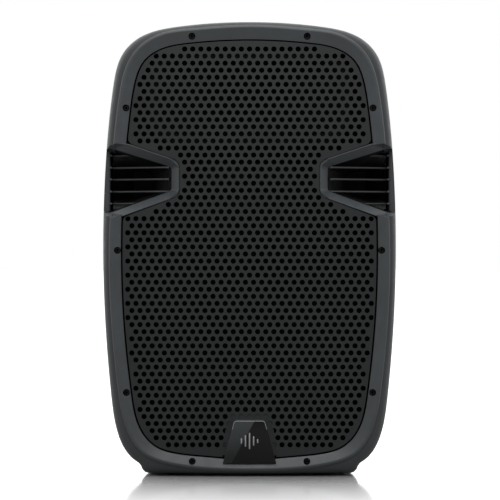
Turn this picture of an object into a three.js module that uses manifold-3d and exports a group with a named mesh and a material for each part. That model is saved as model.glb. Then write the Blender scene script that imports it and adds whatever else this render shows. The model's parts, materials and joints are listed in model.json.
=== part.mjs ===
// A self-powered two-way public address loudspeaker: two plastic mouldings bolted
// together, a grille, louvred hand grips, a 15 inch woofer, a horn with its compression
// driver, and an amplifier panel in the back.
//
// Millimetres. +Z is up and the front faces -Y; right is +X. The origin is on the floor,
// under the middle of the box that holds the whole cabinet.
import * as THREE from "three";
import { mergeVertices } from "three/addons/utils/BufferGeometryUtils.js";
import { ConvexGeometry } from "three/addons/geometries/ConvexGeometry.js";
import Module from "manifold-3d";

const wasm = await Module();
wasm.setup();

// ---------------------------------------------------------------- driving dimensions
const FRONT = -180; // the bezel's crest
const REAR = 180; // the back face
const REAR_EDGE_Y = 176.5; // where the rounding into the back face begins
const WALL = 4; // the rear shell's wall
const GAP = 0.35; // between two pieces that rest on each other
const SEAM_Y = -176; // the joint between the front baffle and the rear shell
const BEVEL_Y = -173.5; // the inner edge of the bezel's bevel
const BAFFLE_Y = -152; // the face the drivers are mounted on
const BAFFLE_T = 8; // the baffle's thickness
const BEHIND_BAFFLE_Y = -143.6; // just clear of the baffle's back
const AHEAD_Y = -186; // where a cut starts, clear of the front
const GIRTH_Y = -142; // where the shell is widest
const MIDDLE_Z = 335; // the height above which the top falls towards the back
const REAR_HALF = 105; // half the back face's width
const FACET_Y = 25; // where the two slanted back facets begin
const FACET_HALF = 197.7; // half the width there
const WOOFER_Z = 230; // height of the woofer's axis
const WOOFER_R = 184.5; // the woofer frame's outer radius
const CONE_R = 150; // the paper cone's outer radius
const COIL_R = 37.6; // the voice coil's inner radius
const HORN_Z = 562; // height of the horn's axis
const HORN_HALF_WIDTH = 138; // at the mouth
const HORN_HALF_HEIGHT = 58; // at the mouth
const THROAT_R = 12.5; // the horn's throat
const TRAY_HALF = 88; // half the width of the recess in the back
const TRAY_LOW = 150; // its lower edge
const TRAY_HIGH = 490; // its upper edge
const TRAY_Y = 158; // its floor
const PANEL_T = 3; // the amplifier panel's thickness
const PANEL_SCREW_X = TRAY_HALF - 5.5;
const PANEL_SCREW_LOW = TRAY_LOW + 6;
const PANEL_SCREW_HIGH = TRAY_HIGH - 6;
const POLE_R = 18; // the pole socket's bore
const SOCKET_R = 22; // the pole socket's outer radius
const FOOT_R = 15; // a rubber foot's radius

const SIDES = { right: 1, left: -1 };
const SIGNS = [1, -1];

// The baffle screws on the right side: [x, z].
const SCREWS = [[85.2, 651], [182.6, 545], [195.3, 334.5], [182, 124.3], [84.7, 22.6]];
// The feet: [name, x, y].
const FEET = [
  ["front_right", 110, -112],
  ["front_left", -110, -112],
  ["rear_right", 78, 138],
  ["rear_left", -78, 138],
];

// Half outlines as [x, z], seen from the front: from the top centre, clockwise, to the
// bottom centre. SEAM and GIRTH match point for point, and BEVEL matches them too.
const SEAM = [
  [0, 668.1], [64.4, 664.8], [107.2, 660.9], [128.2, 656.6], [147.9, 648.1],
  [164.9, 635], [184.9, 601.2], [193.4, 562.5], [202.1, 483.6], [205.9, 404.4],
  [208.3, 325.1], [203.7, 214.8], [196.6, 141.6], [191.6, 105.1], [182.4, 69.6],
  [163.5, 38.3], [146.2, 26.2], [126.3, 19.1], [105.6, 14.8], [63.5, 9.6], [0, 7.6],
];
const GIRTH = [
  [0, 674.3], [70.1, 671.6], [116.6, 666.1], [139.5, 661.5], [161.4, 653.2],
  [180.2, 639.5], [198.3, 606.7], [204.9, 569.3], [212.7, 493.7], [217, 417.9],
  [218.5, 342], [214.9, 221.4], [208.8, 141.1], [204.6, 101.1], [196.8, 61.7],
  [177.8, 26.7], [161.9, 11.9], [143.2, 2], [119.4, 2], [71.6, 2], [0, 2],
];
const BEVEL = [
  [0, 645], [58.9, 642.8], [97.9, 639.1], [117.3, 635.7], [135.7, 629],
  [151.6, 617.6], [167.8, 585.5], [174.3, 549.8], [182.2, 477.4], [186.9, 404.8],
  [188.4, 332], [184.6, 224.9], [177.7, 153.8], [173.2, 118.3], [165.9, 83.4],
  [147.8, 52.9], [132.3, 42], [114.1, 36.3], [95.2, 33.2], [57.2, 29.6], [0, 26.5],
];
const RECESS = [
  [0, 646.1], [30.1, 645.6], [62.1, 643.7], [95.8, 640.5], [115.2, 637.3],
  [128.8, 633.2], [141.8, 626.8], [151.8, 619], [159.5, 609.3], [163.6, 601.4],
  [166.8, 593], [171.9, 571.9], [176.7, 540.3], [181.9, 492.6], [112.3, 468.8],
  [108.1, 466.3], [105.2, 462.3], [104.2, 457.5], [104.2, 423.5], [105.2, 418.7],
  [108, 414.7], [112.1, 412.2], [188.7, 384.7], [189.5, 331.4], [188.9, 286.9],
  [187, 244.4], [183.9, 202], [179.3, 158], [173.8, 115.4], [170.4, 95.9],
  [165.4, 78.8], [158.4, 64.5], [150.9, 54.6], [141.7, 46.2], [130.8, 40.1],
  [118.7, 36.2], [101, 32.9], [79.7, 30.5], [31.9, 26.5], [0, 25.4],
];
const GRILLE = [
  [0, 644.6], [30, 644.1], [62, 642.2], [95.7, 639], [114.9, 635.9],
  [128.3, 631.8], [141, 625.5], [150.7, 618], [158.2, 608.6], [162.2, 600.8],
  [165.4, 592.5], [170.5, 571.6], [176.9, 526], [179.7, 500.5], [179.2, 496.6],
  [177.1, 493.5], [174.2, 490.9], [112.4, 469.3], [107.8, 466.5], [104.3, 462.5],
  [103.7, 457.3], [103.7, 423.7], [104.3, 418.5], [107.8, 414.4], [112.2, 411.7],
  [181.7, 385.6], [184.6, 383.8], [186.7, 381], [187.4, 377.7], [188, 331.4],
  [187.4, 287], [185.5, 244.5], [182.5, 203.9], [178, 159.9], [172.4, 115.6],
  [169, 96.2], [164.1, 79.3], [157.1, 65.3], [149.8, 55.6], [140.8, 47.4],
  [130.2, 41.5], [118.3, 37.7], [100.8, 34.3], [79.6, 32], [31.8, 28], [0, 26.9],
];

// How the shell's section changes with depth: [y, share].
const ROUNDING = [ // from the seam outline to the girth outline
  [SEAM_Y, 0], [-173.5, 0.4], [-169, 0.68], [-160, 0.9], [GIRTH_Y, 1],
];
const NARROWING = [[GIRTH_Y, 1], [-60, 0.966], [REAR, 0.85]]; // of the width
const TOP_FALL = [[GIRTH_Y, 1], [-60, 0.994], [REAR, 0.945]]; // of the height above MIDDLE_Z

// The window beside the grille, right side, as [x, z] anticlockwise seen from the front:
// its opening at the bottom of the chamfer, and the chamfer's outer edge.
const WINDOW_Y = -164; // the bottom of the chamfer
const CREST_Y = -176.4; // the ridge round the window, just proud of the grille
const WINDOW_IN = [
  [243.5, 486.2], [202.2, 484.9], [121, 459.8], [115.9, 456.7],
  [115.9, 424.5], [121, 421.1], [205.9, 390.2], [243.5, 387.3],
];
const WINDOW_OUT = [
  [243.5, 490.6], [181, 492.3], [116.6, 470.3], [104.2, 459.5],
  [104.2, 421.5], [116.8, 410.5], [187.5, 385.1], [243.5, 380],
];
// The hand pocket's far end, and where its slanted back leaves the shell's side.
const POCKET_Y = -50;
const POCKET_END = [[178, 457], [158, 455], [150, 449], [150, 426], [158, 420], [178, 417]];
const POCKET_SIDE = { y: -100, high: 472, low: 401.5 };
// The opening in the shell's side, behind the grip: [y, top, bottom, share of the chamfer].
const SIDE_OPENING = [[WINDOW_Y, 484.5, 389, 0], [-119, 476, 398, 0], [-98, 464, 409, 1]];

// ---------------------------------------------------------------- outlines
const onSide = (sign, loop) => loop.map(([x, z]) => [sign * x, z]);
const whole = (half) => half.concat(onSide(-1, half.slice(1, -1).reverse()));

// The unit vector from one point to the next.
function direction(from, to) {
  const x = to[0] - from[0];
  const z = to[1] - from[1];
  const length = Math.hypot(x, z) || 1;
  return [x / length, z / length];
}

// The clockwise loop moved inwards by a distance.
function inset(loop, distance) {
  const count = loop.length;
  return loop.map((point, i) => {
    const [inX, inZ] = direction(loop[(i + count - 1) % count], point);
    const [outX, outZ] = direction(point, loop[(i + 1) % count]);
    // the mitre halfway between the outward normals of the two edges
    const length = Math.hypot(inZ + outZ, inX + outX) || 1;
    const mitreX = -(inZ + outZ) / length;
    const mitreZ = (inX + outX) / length;
    const cosine = Math.max(0.5, mitreX * -inZ + mitreZ * inX);
    return [
      point[0] - (mitreX * distance) / cosine,
      point[1] - (mitreZ * distance) / cosine,
    ];
  });
}

// The anticlockwise loop moved outwards by a distance.
const grown = (loop, distance) => inset([...loop].reverse(), -distance);

const lerp = (from, to, share) => from + (to - from) * share;

// The value at depth y in rows of [y, value], held level past either end.
function interpolate(rows, y) {
  if (y <= rows[0][0]) return rows[0][1];
  for (let i = 1; i < rows.length; i++) {
    const [startY, start] = rows[i - 1];
    const [endY, end] = rows[i];
    if (y <= endY) return lerp(start, end, (y - startY) / (endY - startY));
  }
  return rows[rows.length - 1][1];
}

function roundedRect(centreX, centreZ, halfX, halfZ, radius, steps) {
  const loop = [];
  for (const [signX, signZ, start] of [[1, 1, 90], [1, -1, 0], [-1, -1, -90], [-1, 1, -180]])
    for (let i = 0; i <= steps; i++) {
      const angle = ((start - (90 * i) / steps) * Math.PI) / 180;
      loop.push([
        centreX + signX * (halfX - radius) + radius * Math.cos(angle),
        centreZ + signZ * (halfZ - radius) + radius * Math.sin(angle),
      ]);
    }
  return loop;
}

// A squared-off ellipse; the higher the power, the squarer.
function oval(centreX, centreZ, halfX, halfZ, power, count = 20) {
  const reach = (value) => Math.sign(value) * Math.abs(value) ** (2 / power);
  return Array.from({ length: count }, (_, i) => {
    const angle = Math.PI / 2 - (2 * Math.PI * i) / count;
    return [
      centreX + halfX * reach(Math.cos(angle)),
      centreZ + halfZ * reach(Math.sin(angle)),
    ];
  });
}

// The four corners [x, z] of an upright rectangle centred on x = 0.
const corners = (halfX, low, high) => [[-halfX, low], [halfX, low], [-halfX, high], [halfX, high]];

// ---------------------------------------------------------------- solids
// A geometry welded, freed of collapsed triangles and turned outwards, as a solid.
function solid(geometry) {
  const bare = new THREE.BufferGeometry();
  bare.setAttribute("position", geometry.attributes.position);
  bare.setIndex(geometry.index);
  const welded = mergeVertices(bare, 1e-3);
  const points = welded.attributes.position.array;
  const index = welded.index.array;
  const [first, second, third] = [0, 1, 2].map(() => new THREE.Vector3());
  let triangles = [];
  let volume = 0;
  for (let n = 0; n < index.length; n += 3) {
    const [i, j, k] = index.slice(n, n + 3);
    if (i === j || j === k || i === k) continue;
    triangles.push([i, j, k]);
    second.fromArray(points, j * 3).cross(third.fromArray(points, k * 3));
    volume += first.fromArray(points, i * 3).dot(second);
  }
  if (volume < 0) triangles = triangles.map(([i, j, k]) => [i, k, j]);
  return new wasm.Manifold(
    new wasm.Mesh({
      numProp: 3,
      vertProperties: new Float32Array(points),
      triVerts: new Uint32Array(triangles.flat()),
    }),
  );
}

// A flat-shaded geometry of a solid.
function geometryOf(made) {
  const mesh = made.getMesh();
  const points = new Float32Array(mesh.numVert * 3);
  for (let i = 0; i < mesh.numVert; i++) {
    const start = i * mesh.numProp;
    points.set(mesh.vertProperties.subarray(start, start + 3), i * 3);
  }
  const geometry = new THREE.BufferGeometry();
  geometry.setAttribute("position", new THREE.BufferAttribute(points, 3));
  geometry.setIndex(new THREE.BufferAttribute(new Uint32Array(mesh.triVerts), 1));
  const flat = geometry.toNonIndexed();
  flat.computeVertexNormals();
  return flat;
}

const join = (...all) => all.flat().reduce((sum, part) => sum.add(part));
const cut = (from, ...all) => all.flat().reduce((rest, part) => rest.subtract(part), from);

// A closed skin through sections [y, loop] whose loops have the same count.
function loft(sections) {
  const count = sections[0][1].length;
  const last = sections.length - 1;
  const position = sections.flatMap(([y, loop]) => loop.flatMap(([x, z]) => [x, y, z]));
  const index = [];
  for (let s = 0; s < last; s++)
    for (let i = 0; i < count; i++) {
      const here = s * count + i;
      const next = s * count + ((i + 1) % count);
      index.push(here, here + count, next, next, here + count, next + count);
    }
  for (const s of [0, last]) {
    // points in a straight line are nudged by a micron here, so that none is dropped
    const contour = sections[s][1].map(
      ([x, z], i) =>
        new THREE.Vector2(x + 1e-3 * Math.sin(i * 12.9), z + 1e-3 * Math.cos(i * 78.2)),
    );
    const area = THREE.ShapeUtils.area(contour);
    const offset = s * count;
    for (const [i, j, k] of THREE.ShapeUtils.triangulateShape(contour, [])) {
      // the first cap runs the same way as its loop, the last one the other way
      const sameWay = THREE.ShapeUtils.area([contour[i], contour[j], contour[k]]) * area > 0;
      if (sameWay === (s === 0)) index.push(offset + i, offset + j, offset + k);
      else index.push(offset + i, offset + k, offset + j);
    }
  }
  const geometry = new THREE.BufferGeometry();
  geometry.setAttribute("position", new THREE.BufferAttribute(new Float32Array(position), 3));
  geometry.setIndex(index);
  return solid(geometry);
}

const extrude = (points, depth) =>
  new THREE.ExtrudeGeometry(
    new THREE.Shape(points.map(([x, y]) => new THREE.Vector2(x, y))),
    { depth, bevelEnabled: false },
  );

// A prism along Y, with its outline given as [x, z].
const prismY = (points, y0, y1) =>
  solid(extrude(points, y1 - y0).rotateX(Math.PI / 2).translate(0, y1, 0));

// A prism along Z, with its outline given as [x, y].
const prismZ = (points, z0, z1) => solid(extrude(points, z1 - z0).translate(0, 0, z0));

// A prism along X, with its outline given as [y, z].
function prismX(points, x0, x1) {
  const turn = new THREE.Matrix4().makeBasis(
    new THREE.Vector3(0, 1, 0),
    new THREE.Vector3(0, 0, 1),
    new THREE.Vector3(1, 0, 0),
  );
  return solid(extrude(points, x1 - x0).applyMatrix4(turn).translate(x0, 0, 0));
}

// A box between two limits on each axis; x0 and x1 may come in either order.
const box = (x0, x1, y0, y1, z0, z1) =>
  solid(
    new THREE.BoxGeometry(Math.abs(x1 - x0), y1 - y0, z1 - z0).translate(
      (x0 + x1) / 2,
      (y0 + y1) / 2,
      (z0 + z1) / 2,
    ),
  );

// A box about the centre x, z.
const block = (x, z, halfX, halfZ, y0, y1) =>
  box(x - halfX, x + halfX, y0, y1, z - halfZ, z + halfZ);

// A rod along Y or along Z.
const rodY = (radius, x, z, y0, y1, segments) =>
  solid(
    new THREE.CylinderGeometry(radius, radius, y1 - y0, segments)
      .translate(x, (y0 + y1) / 2, z),
  );
const rodZ = (radius, x, y, z0, z1, segments) =>
  solid(
    new THREE.CylinderGeometry(radius, radius, z1 - z0, segments)
      .rotateX(Math.PI / 2)
      .translate(x, y, (z0 + z1) / 2),
  );

const lathe = (profile, segments) =>
  new THREE.LatheGeometry(profile.map(([x, y]) => new THREE.Vector2(x, y)), segments);
// A turned piece about the Y axis; the profile is [radius, y].
const turned = (profile, segments) => solid(lathe(profile, segments));
// The same about the Z axis; the profile is [radius, z].
const turnedZ = (profile, segments) => solid(lathe(profile, segments).rotateX(Math.PI / 2));

// The convex body round points [x, y, z].
const convex = (points) =>
  solid(new ConvexGeometry(points.map((point) => new THREE.Vector3(...point))));
// The convex body that holds flat outlines, given as [y, loop].
const hull = (...sections) =>
  convex(sections.flatMap(([y, loop]) => loop.map(([x, z]) => [x, y, z])));

// ---------------------------------------------------------------- materials
const standard = (settings) => new THREE.MeshStandardMaterial(settings);
const plastic = (settings) => standard({ ...settings, metalness: 0 });
const metal = (settings) => standard({ ...settings, metalness: 1 });

const slate = plastic({ color: "#3f4547", roughness: 0.55 });
const dark = plastic({ color: "#26292a", roughness: 0.6 });
const black = plastic({ color: "#121313", roughness: 0.5 });
const painted = standard({ color: "#2c2f31", roughness: 0.5, metalness: 0.3 });
const rubber = plastic({ color: "#161616", roughness: 0.9 });
const zinc = metal({ color: "#9a9ca0", roughness: 0.35 });
const steel = metal({ color: "#8b8d90", roughness: 0.35 });
const aluminium = metal({ color: "#a5a8aa", roughness: 0.4 });
const copper = metal({ color: "#b0673a", roughness: 0.35 });
const paper = plastic({ color: "#1f1f20", roughness: 0.9 });
const cloth = plastic({ color: "#2b2622", roughness: 0.95 });
const ferrite = plastic({ color: "#303032", roughness: 0.8 });
const board = plastic({ color: "#1f4a2c", roughness: 0.5 });
const gloss = plastic({ color: "#15171a", roughness: 0.12 });
const knobGrey = plastic({ color: "#2a2c2e", roughness: 0.5 });
const buttonGrey = plastic({ color: "#c9c9c6", roughness: 0.45 });

// ---------------------------------------------------------------- the group
const cabinet = new THREE.Group();

function add(name, made, material, parent = cabinet, at = [0, 0, 0]) {
  const mesh = new THREE.Mesh(geometryOf(made), material);
  mesh.name = name;
  mesh.position.set(...at);
  parent.add(mesh);
}

function addGroup(parent, x, y, z) {
  const group = new THREE.Group();
  group.position.set(x, y, z);
  parent.add(group);
  return group;
}

// ---------------------------------------------------------------- windows and pockets
// The window's chamfer carried forward in a straight line from its edge.
const chamferCarry = (CREST_Y - AHEAD_Y) / (WINDOW_Y - CREST_Y);
const chamferFront = WINDOW_OUT.map(([x, z], i) => [
  x + (x - WINDOW_IN[i][0]) * chamferCarry,
  z + (z - WINDOW_IN[i][1]) * chamferCarry,
]);
const windowCut = (sign) =>
  hull([AHEAD_Y, onSide(sign, chamferFront)], [WINDOW_Y, onSide(sign, WINDOW_IN)]);

// The room behind a window, grown by a distance.
function pocket(sign, growth) {
  const outer = WINDOW_IN[0][0] + growth;
  const high = POCKET_SIDE.high + growth;
  const low = POCKET_SIDE.low - growth;
  const side = [[outer, high], [outer, low], [200, low], [200, high]];
  return hull(
    [WINDOW_Y - 0.5, onSide(sign, grown(WINDOW_IN, growth))],
    [POCKET_SIDE.y + growth * 1.3, onSide(sign, side)],
    [POCKET_Y + growth, onSide(sign, grown(POCKET_END, growth))],
  );
}

// The side opening's own chamfer, widening outwards through the shell's wall.
function sideChamfer(sign) {
  const points = [];
  for (const [x, widening] of [[200, 0], [226, 10]])
    for (const [y, top, bottom, share] of SIDE_OPENING) {
      const extra = widening * share;
      points.push([sign * x, y + extra, top + extra], [sign * x, y + extra, bottom - extra]);
    }
  return convex(points);
}

const gripOpenings = [...SIGNS.map(windowCut), ...SIGNS.map((sign) => pocket(sign, 0))];

// ---------------------------------------------------------------- rear shell
const seamLoop = whole(SEAM);

// The shell's outer loop at depth y.
function shellLoop(y) {
  const rounding = interpolate(ROUNDING, y);
  const narrowing = interpolate(NARROWING, y);
  const fall = interpolate(TOP_FALL, y);
  return whole(
    SEAM.map(([seamX, seamZ], i) => {
      const x = lerp(seamX, GIRTH[i][0], rounding) * narrowing;
      const z = lerp(seamZ, GIRTH[i][1], rounding);
      return [x, z > MIDDLE_Z ? MIDDLE_Z + (z - MIDDLE_Z) * fall : z];
    }),
  );
}
const shellSection = (y, distance) => [y, inset(shellLoop(y), distance)];

// The body the back is trimmed to, moved in: two slanted facets and the back face.
function backTrim(distance) {
  const slope = (FACET_HALF - REAR_HALF) / (REAR - FACET_Y);
  const facetX = (y) => REAR_HALF + (REAR - y) * slope - distance * Math.hypot(1, slope);
  const back = REAR - distance;
  const right = [[facetX(-230), -230], [facetX(back - 3.4), back - 3.4], [facetX(back) - 4.4, back]];
  return prismZ([...right, ...onSide(-1, [...right].reverse())], -10, 700);
}

// The shell's outer body, moved in.
const skin = (distance) =>
  loft([
    ...[SEAM_Y + GAP, -173.5, -169, -160, GIRTH_Y, -60, 171].map((y) =>
      shellSection(y, distance),
    ),
    shellSection(REAR_EDGE_Y, 1.2 + distance),
    [REAR - distance, inset(shellLoop(REAR), 6 + distance)],
  ]).intersect(backTrim(distance));
const outerSkin = skin(0);

const shellCavity = () =>
  loft([
    [-184, inset(seamLoop, WALL)],
    [-143, inset(seamLoop, WALL)],
    ...[-131, -60, 160].map((y) => shellSection(y, WALL)),
    shellSection(REAR - WALL, WALL + 1.5),
  ]).intersect(backTrim(WALL));

// The baffle screws' bosses, each with a rib to the nearest wall.
function screwBosses() {
  const bossEnd = -100;
  const ribReach = 12;
  const bosses = [];
  for (const [x, z] of SCREWS)
    for (const sign of SIGNS) {
      const upright = z > 640 || z < 40;
      const stepX = upright ? 0 : sign * ribReach;
      const stepZ = upright ? Math.sign(z - MIDDLE_Z) * ribReach : 0;
      const halves = upright ? [2, ribReach] : [ribReach, 2];
      bosses.push(
        rodY(7, sign * x, z, BEHIND_BAFFLE_Y, bossEnd, 6),
        block(sign * x + stepX, z + stepZ, ...halves, BEHIND_BAFFLE_Y, bossEnd),
      );
    }
  return join(bosses).intersect(skin(2));
}

// The rebate for the gasket, on the inside of the front edge.
const gasketRebate = () =>
  cut(
    loft([AHEAD_Y, -173.6].map((y) => [y, inset(seamLoop, 1.1)])),
    loft([-190, -170].map((y) => [y, inset(seamLoop, 6)])),
  );

const panelScrewPlaces = corners(PANEL_SCREW_X, PANEL_SCREW_LOW, PANEL_SCREW_HIGH);

function rearShell() {
  const trayOuter = TRAY_HALF + WALL;
  const openingHalf = TRAY_HALF - 11;
  const filled = join(
    cut(outerSkin, shellCavity()),
    screwBosses(),
    // the tray the amplifier panel lies in
    box(-trayOuter, trayOuter, TRAY_Y - WALL, REAR_EDGE_Y, TRAY_LOW - WALL, TRAY_HIGH + WALL),
    // pads over the feet and under the pole socket's flange
    FEET.map(([, x, y]) => rodZ(FOOT_R + 4, x, y, 3, 9, 14)),
    rodZ(30, 0, 0, 3, 6.2, 20),
  );
  return cut(
    filled,
    SCREWS.flatMap(([x, z]) => SIGNS.map((sign) => rodY(2.5, sign * x, z, -150, -104, 6))),
    box(-TRAY_HALF, TRAY_HALF, TRAY_Y, 190, TRAY_LOW, TRAY_HIGH),
    box(-openingHalf, openingHalf, 140, 170, TRAY_LOW + 12, TRAY_HIGH - 12),
    FEET.map(([, x, y]) => rodZ(FOOT_R + 0.9, x, y, -5, 5.2, 14)),
    rodZ(SOCKET_R + 0.2, 0, 0, -5, 12, 24),
    panelScrewPlaces.map(([x, z]) => rodY(2, x, z, 140, 170, 6)),
    gasketRebate(),
    gripOpenings,
    SIGNS.map(sideChamfer),
  );
}
add("rear_shell", rearShell(), slate);

// ---------------------------------------------------------------- front baffle
const CREST_INSET = 4; // from the seam outline to the bezel's crest
const TONGUE_INSET = 4.4; // the part that reaches into the shell
const PORT = { x: 48, z: 455, halfX: 40, halfZ: 20, corner: 12, wall: 2.6 };

const baffleBlank = () =>
  loft([
    [FRONT, inset(seamLoop, CREST_INSET)],
    [-179.4, inset(seamLoop, 1.9)],
    [-178.2, inset(seamLoop, 0.6)],
    [SEAM_Y, seamLoop],
    [SEAM_Y + 0.02, inset(seamLoop, TONGUE_INSET)],
    [BAFFLE_Y + BAFFLE_T, inset(seamLoop, TONGUE_INSET)],
  ]);

// The bevel, carried on past the crest by half its own depth.
function bevelCut() {
  const carry = 0.5;
  const foot = inset(whole(BEVEL), -1.1);
  const crest = inset(seamLoop, CREST_INSET);
  const ahead = crest.map(([x, z], i) => [
    x + (x - foot[i][0]) * carry,
    z + (z - foot[i][1]) * carry,
  ]);
  return loft([[FRONT - carry * (BEVEL_Y - FRONT), ahead], [FRONT, crest], [BEVEL_Y, foot]]);
}

function recessCut() {
  const recess = whole(RECESS);
  return loft([[BEVEL_Y - 0.5, recess], [BAFFLE_Y, recess]]);
}

const windowRidge = (sign) =>
  prismY(onSide(sign, WINDOW_OUT), CREST_Y, BAFFLE_Y + 2).intersect(
    box(-189, 189, -190, -140, 370, 510),
  );

// The baffle with a reflex port's duct added and its bore opened.
function withPort(baffle, sign) {
  const { x, z, halfX, halfZ, corner, wall } = PORT;
  const outline = (growth) =>
    roundedRect(sign * x, z, halfX + growth, halfZ + growth, corner + growth, 3);
  const bore = prismY(outline(0), -160, -40);
  return baffle.add(cut(prismY(outline(wall), BAFFLE_Y + 1, -46), bore)).subtract(bore);
}

function frontBaffle() {
  const sunk = cut(baffleBlank(), bevelCut(), recessCut());
  const ported = SIGNS.reduce(withPort, join(sunk, SIGNS.map(windowRidge)));
  return cut(
    ported,
    rodY(174.5, 0, WOOFER_Z, -170, -130, 28),
    prismY(roundedRect(0, HORN_Z, 144, 64, 34, 3), -170, -130),
    // the counterbores and clearance holes of the screws
    SCREWS.flatMap(([x, z]) =>
      SIGNS.flatMap((sign) => [
        rodY(5.15, sign * x, z, -190, -170, 10),
        rodY(2.6, sign * x, z, -172, -130, 6),
      ]),
    ),
    gripOpenings,
  );
}
add("front_baffle", frontBaffle(), slate);

// ---------------------------------------------------------------- gasket, two lengths
const gasketRing = cut(
  loft([-175.85, -173.95].map((y) => [y, inset(seamLoop, 1.45)])),
  loft([-178, -170].map((y) => [y, inset(seamLoop, 4.05)])),
);
for (const [level, low, high] of [["upper", 497, 700], ["lower", 0, 376]])
  add(
    "gasket_" + level,
    gasketRing.intersect(box(-300, 300, -190, -160, low, high)),
    rubber,
  );

// ---------------------------------------------------------------- grille and badge
const BADGE = [
  [-22.7, 81.2], [-20.7, 83.2], [20.7, 83.2], [22.7, 81.2], [39.6, 19.6], [-39.6, 19.6],
];
const BADGE_BACKING = [
  [-25.8, 84.2], [-22.8, 86.4], [22.8, 86.4], [25.8, 84.2], [41, 29], [-41, 29],
];
const PEG_R = 3; // the badge's two pegs
const PEG_Z = [38, 66];

// A shallow tray, open at the back.
function grille() {
  const loop = whole(GRILLE);
  const tray = cut(
    loft([[-175.5, inset(loop, 2.4)], [-173.8, loop], [-164, loop]]),
    loft([-174, -160].map((y) => [y, inset(loop, 2.2)])),
  );
  return cut(
    // the raised backing the badge is held against
    tray.add(prismY(BADGE_BACKING, -177, -174.6)),
    PEG_Z.map((z) => rodY(PEG_R + 0.4, 0, z, -180, -170, 12)),
  );
}
add("grille", grille(), painted);
add(
  "badge",
  join(prismY(BADGE, FRONT, -177.4), PEG_Z.map((z) => rodY(PEG_R, 0, z, -177.9, -171, 12))),
  gloss,
);

// ---------------------------------------------------------------- louvres and hand pockets
const SLAT_T = 2.7; // a louvre slat's thickness
const SLAT_Z = [404, 421.9, 440.1, 457.7, 476];
const SLAT_PLAN = [[117, -167], [208, -138], [208, -124], [117, -150]]; // [x, y], right side
const POCKET_T = 2.6; // the hand pocket's wall

// The room inside the shell, kept clear of its walls.
const innerRoom = loft(
  [-150, -143, -131, -60, 20].map((y) => [
    y,
    inset(y < -140 ? seamLoop : shellLoop(y), WALL + 0.45),
  ]),
);

function louvre(sign) {
  const grip = box(sign * 205, sign * 230, -149, -119, 370, 500);
  const slats = SLAT_Z.map((z) =>
    prismZ(onSide(sign, SLAT_PLAN), z - SLAT_T / 2, z + SLAT_T / 2),
  );
  const post = box(sign * 116.3, sign * 119.3, -167, -151, 395, 480);
  return join(grip, slats, post).intersect(pocket(sign, -GAP)).intersect(outerSkin);
}

const handPocket = (sign) =>
  cut(
    pocket(sign, POCKET_T),
    pocket(sign, 0),
    box(-300, 300, -200, BEHIND_BAFFLE_Y, 300, 600),
  ).intersect(innerRoom);

for (const [side, sign] of Object.entries(SIDES)) {
  add("louvre_" + side, louvre(sign), dark);
  add("hand_pocket_" + side, handPocket(sign), dark);
}

// ---------------------------------------------------------------- baffle screws
const baffleScrew = cut(
  turned([[0, 0], [4.6, 0], [4.6, 2.8], [2.1, 2.9], [2.1, 38], [0, 40]], 8),
  rodY(1.9, 0, 0, -1, 1.6, 6),
);
SCREWS.forEach(([x, z], i) => {
  for (const [side, sign] of Object.entries(SIDES))
    add(`baffle_screw_${side}_${i + 1}`, baffleScrew, zinc, cabinet, [sign * x, -173.3, z]);
});

// ---------------------------------------------------------------- feet and pole socket
const foot = turnedZ([[0, 0], [FOOT_R - 2, 0], [FOOT_R, 1.6], [FOOT_R, 4.9], [0, 4.9]], 16);
for (const [name, x, y] of FEET) add("foot_" + name, foot, rubber, cabinet, [x, y, 0]);

// A cup, open at the bottom, with a flange inside the shell.
add(
  "pole_socket",
  turnedZ(
    [
      [0, 101], [POLE_R, 101], [POLE_R, 3.4], [POLE_R + 1, 2.4], [21.6, 2.4], [21.6, 6.6],
      [34, 6.6], [34, 9.6], [SOCKET_R, 9.6], [SOCKET_R, 104], [0, 104],
    ],
    20,
  ),
  black,
);

// ---------------------------------------------------------------- woofer
const woofer = addGroup(cabinet, 0, 0, WOOFER_Z);

// One of the six openings between the basket's spokes.
function basketOpening(i) {
  const middle = (i * Math.PI) / 3 + Math.PI / 6;
  const wedge = [[106, -0.36], [161, -0.4], [161, 0.4], [106, 0.36]].map(([radius, turn]) => [
    radius * Math.cos(middle + turn),
    radius * Math.sin(middle + turn),
  ]);
  return prismY(wedge, -150, -60);
}
add(
  "woofer_basket",
  cut(
    turned(
      [
        [WOOFER_R - 1.5, -158], [WOOFER_R, -156.5], [WOOFER_R, BAFFLE_Y - GAP],
        [172.5, BAFFLE_Y - GAP], [170, -140], [100, -66], [96, -63.4], [60, -63.4],
        [60, -66.4], [97, -69.4], [166, -142], [165, -152.5], [167, -158],
        [WOOFER_R - 1.5, -158],
      ],
      26,
    ),
    [0, 1, 2, 3, 4, 5].map(basketOpening),
  ),
  painted,
  woofer,
);
add(
  "woofer_surround",
  turned(
    [
      [143, -152.1], [150.4, -153.2], [154, -157.4], [158, -154.6], [162, -158.6],
      [167, -160.1], [177, -159.4], [177, -158.4], [167, -158.9], [162, -157.5],
      [158, -153.5], [154, -156.3], [150.4, -152.1], [143, -151.0], [143, -152.1],
    ],
    20,
  ),
  cloth,
  woofer,
);
add(
  "woofer_cone",
  turned(
    [
      [39.6, -99], [60, -113.5], [90, -130], [120, -142.6], [CONE_R, -150.7],
      [CONE_R, -149.5], [120, -141.3], [90, -128.6], [60, -112], [39.6, -97.4], [39.6, -99],
    ],
    20,
  ),
  paper,
  woofer,
);
add(
  "woofer_dust_cap",
  turned(
    [
      [0, -124], [20, -122.6], [37, -118], [52, -109.4],
      [51, -108.7], [36.4, -116.8], [20, -121.2], [0, -122.6],
    ],
    20,
  ),
  paper,
  woofer,
);

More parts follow.
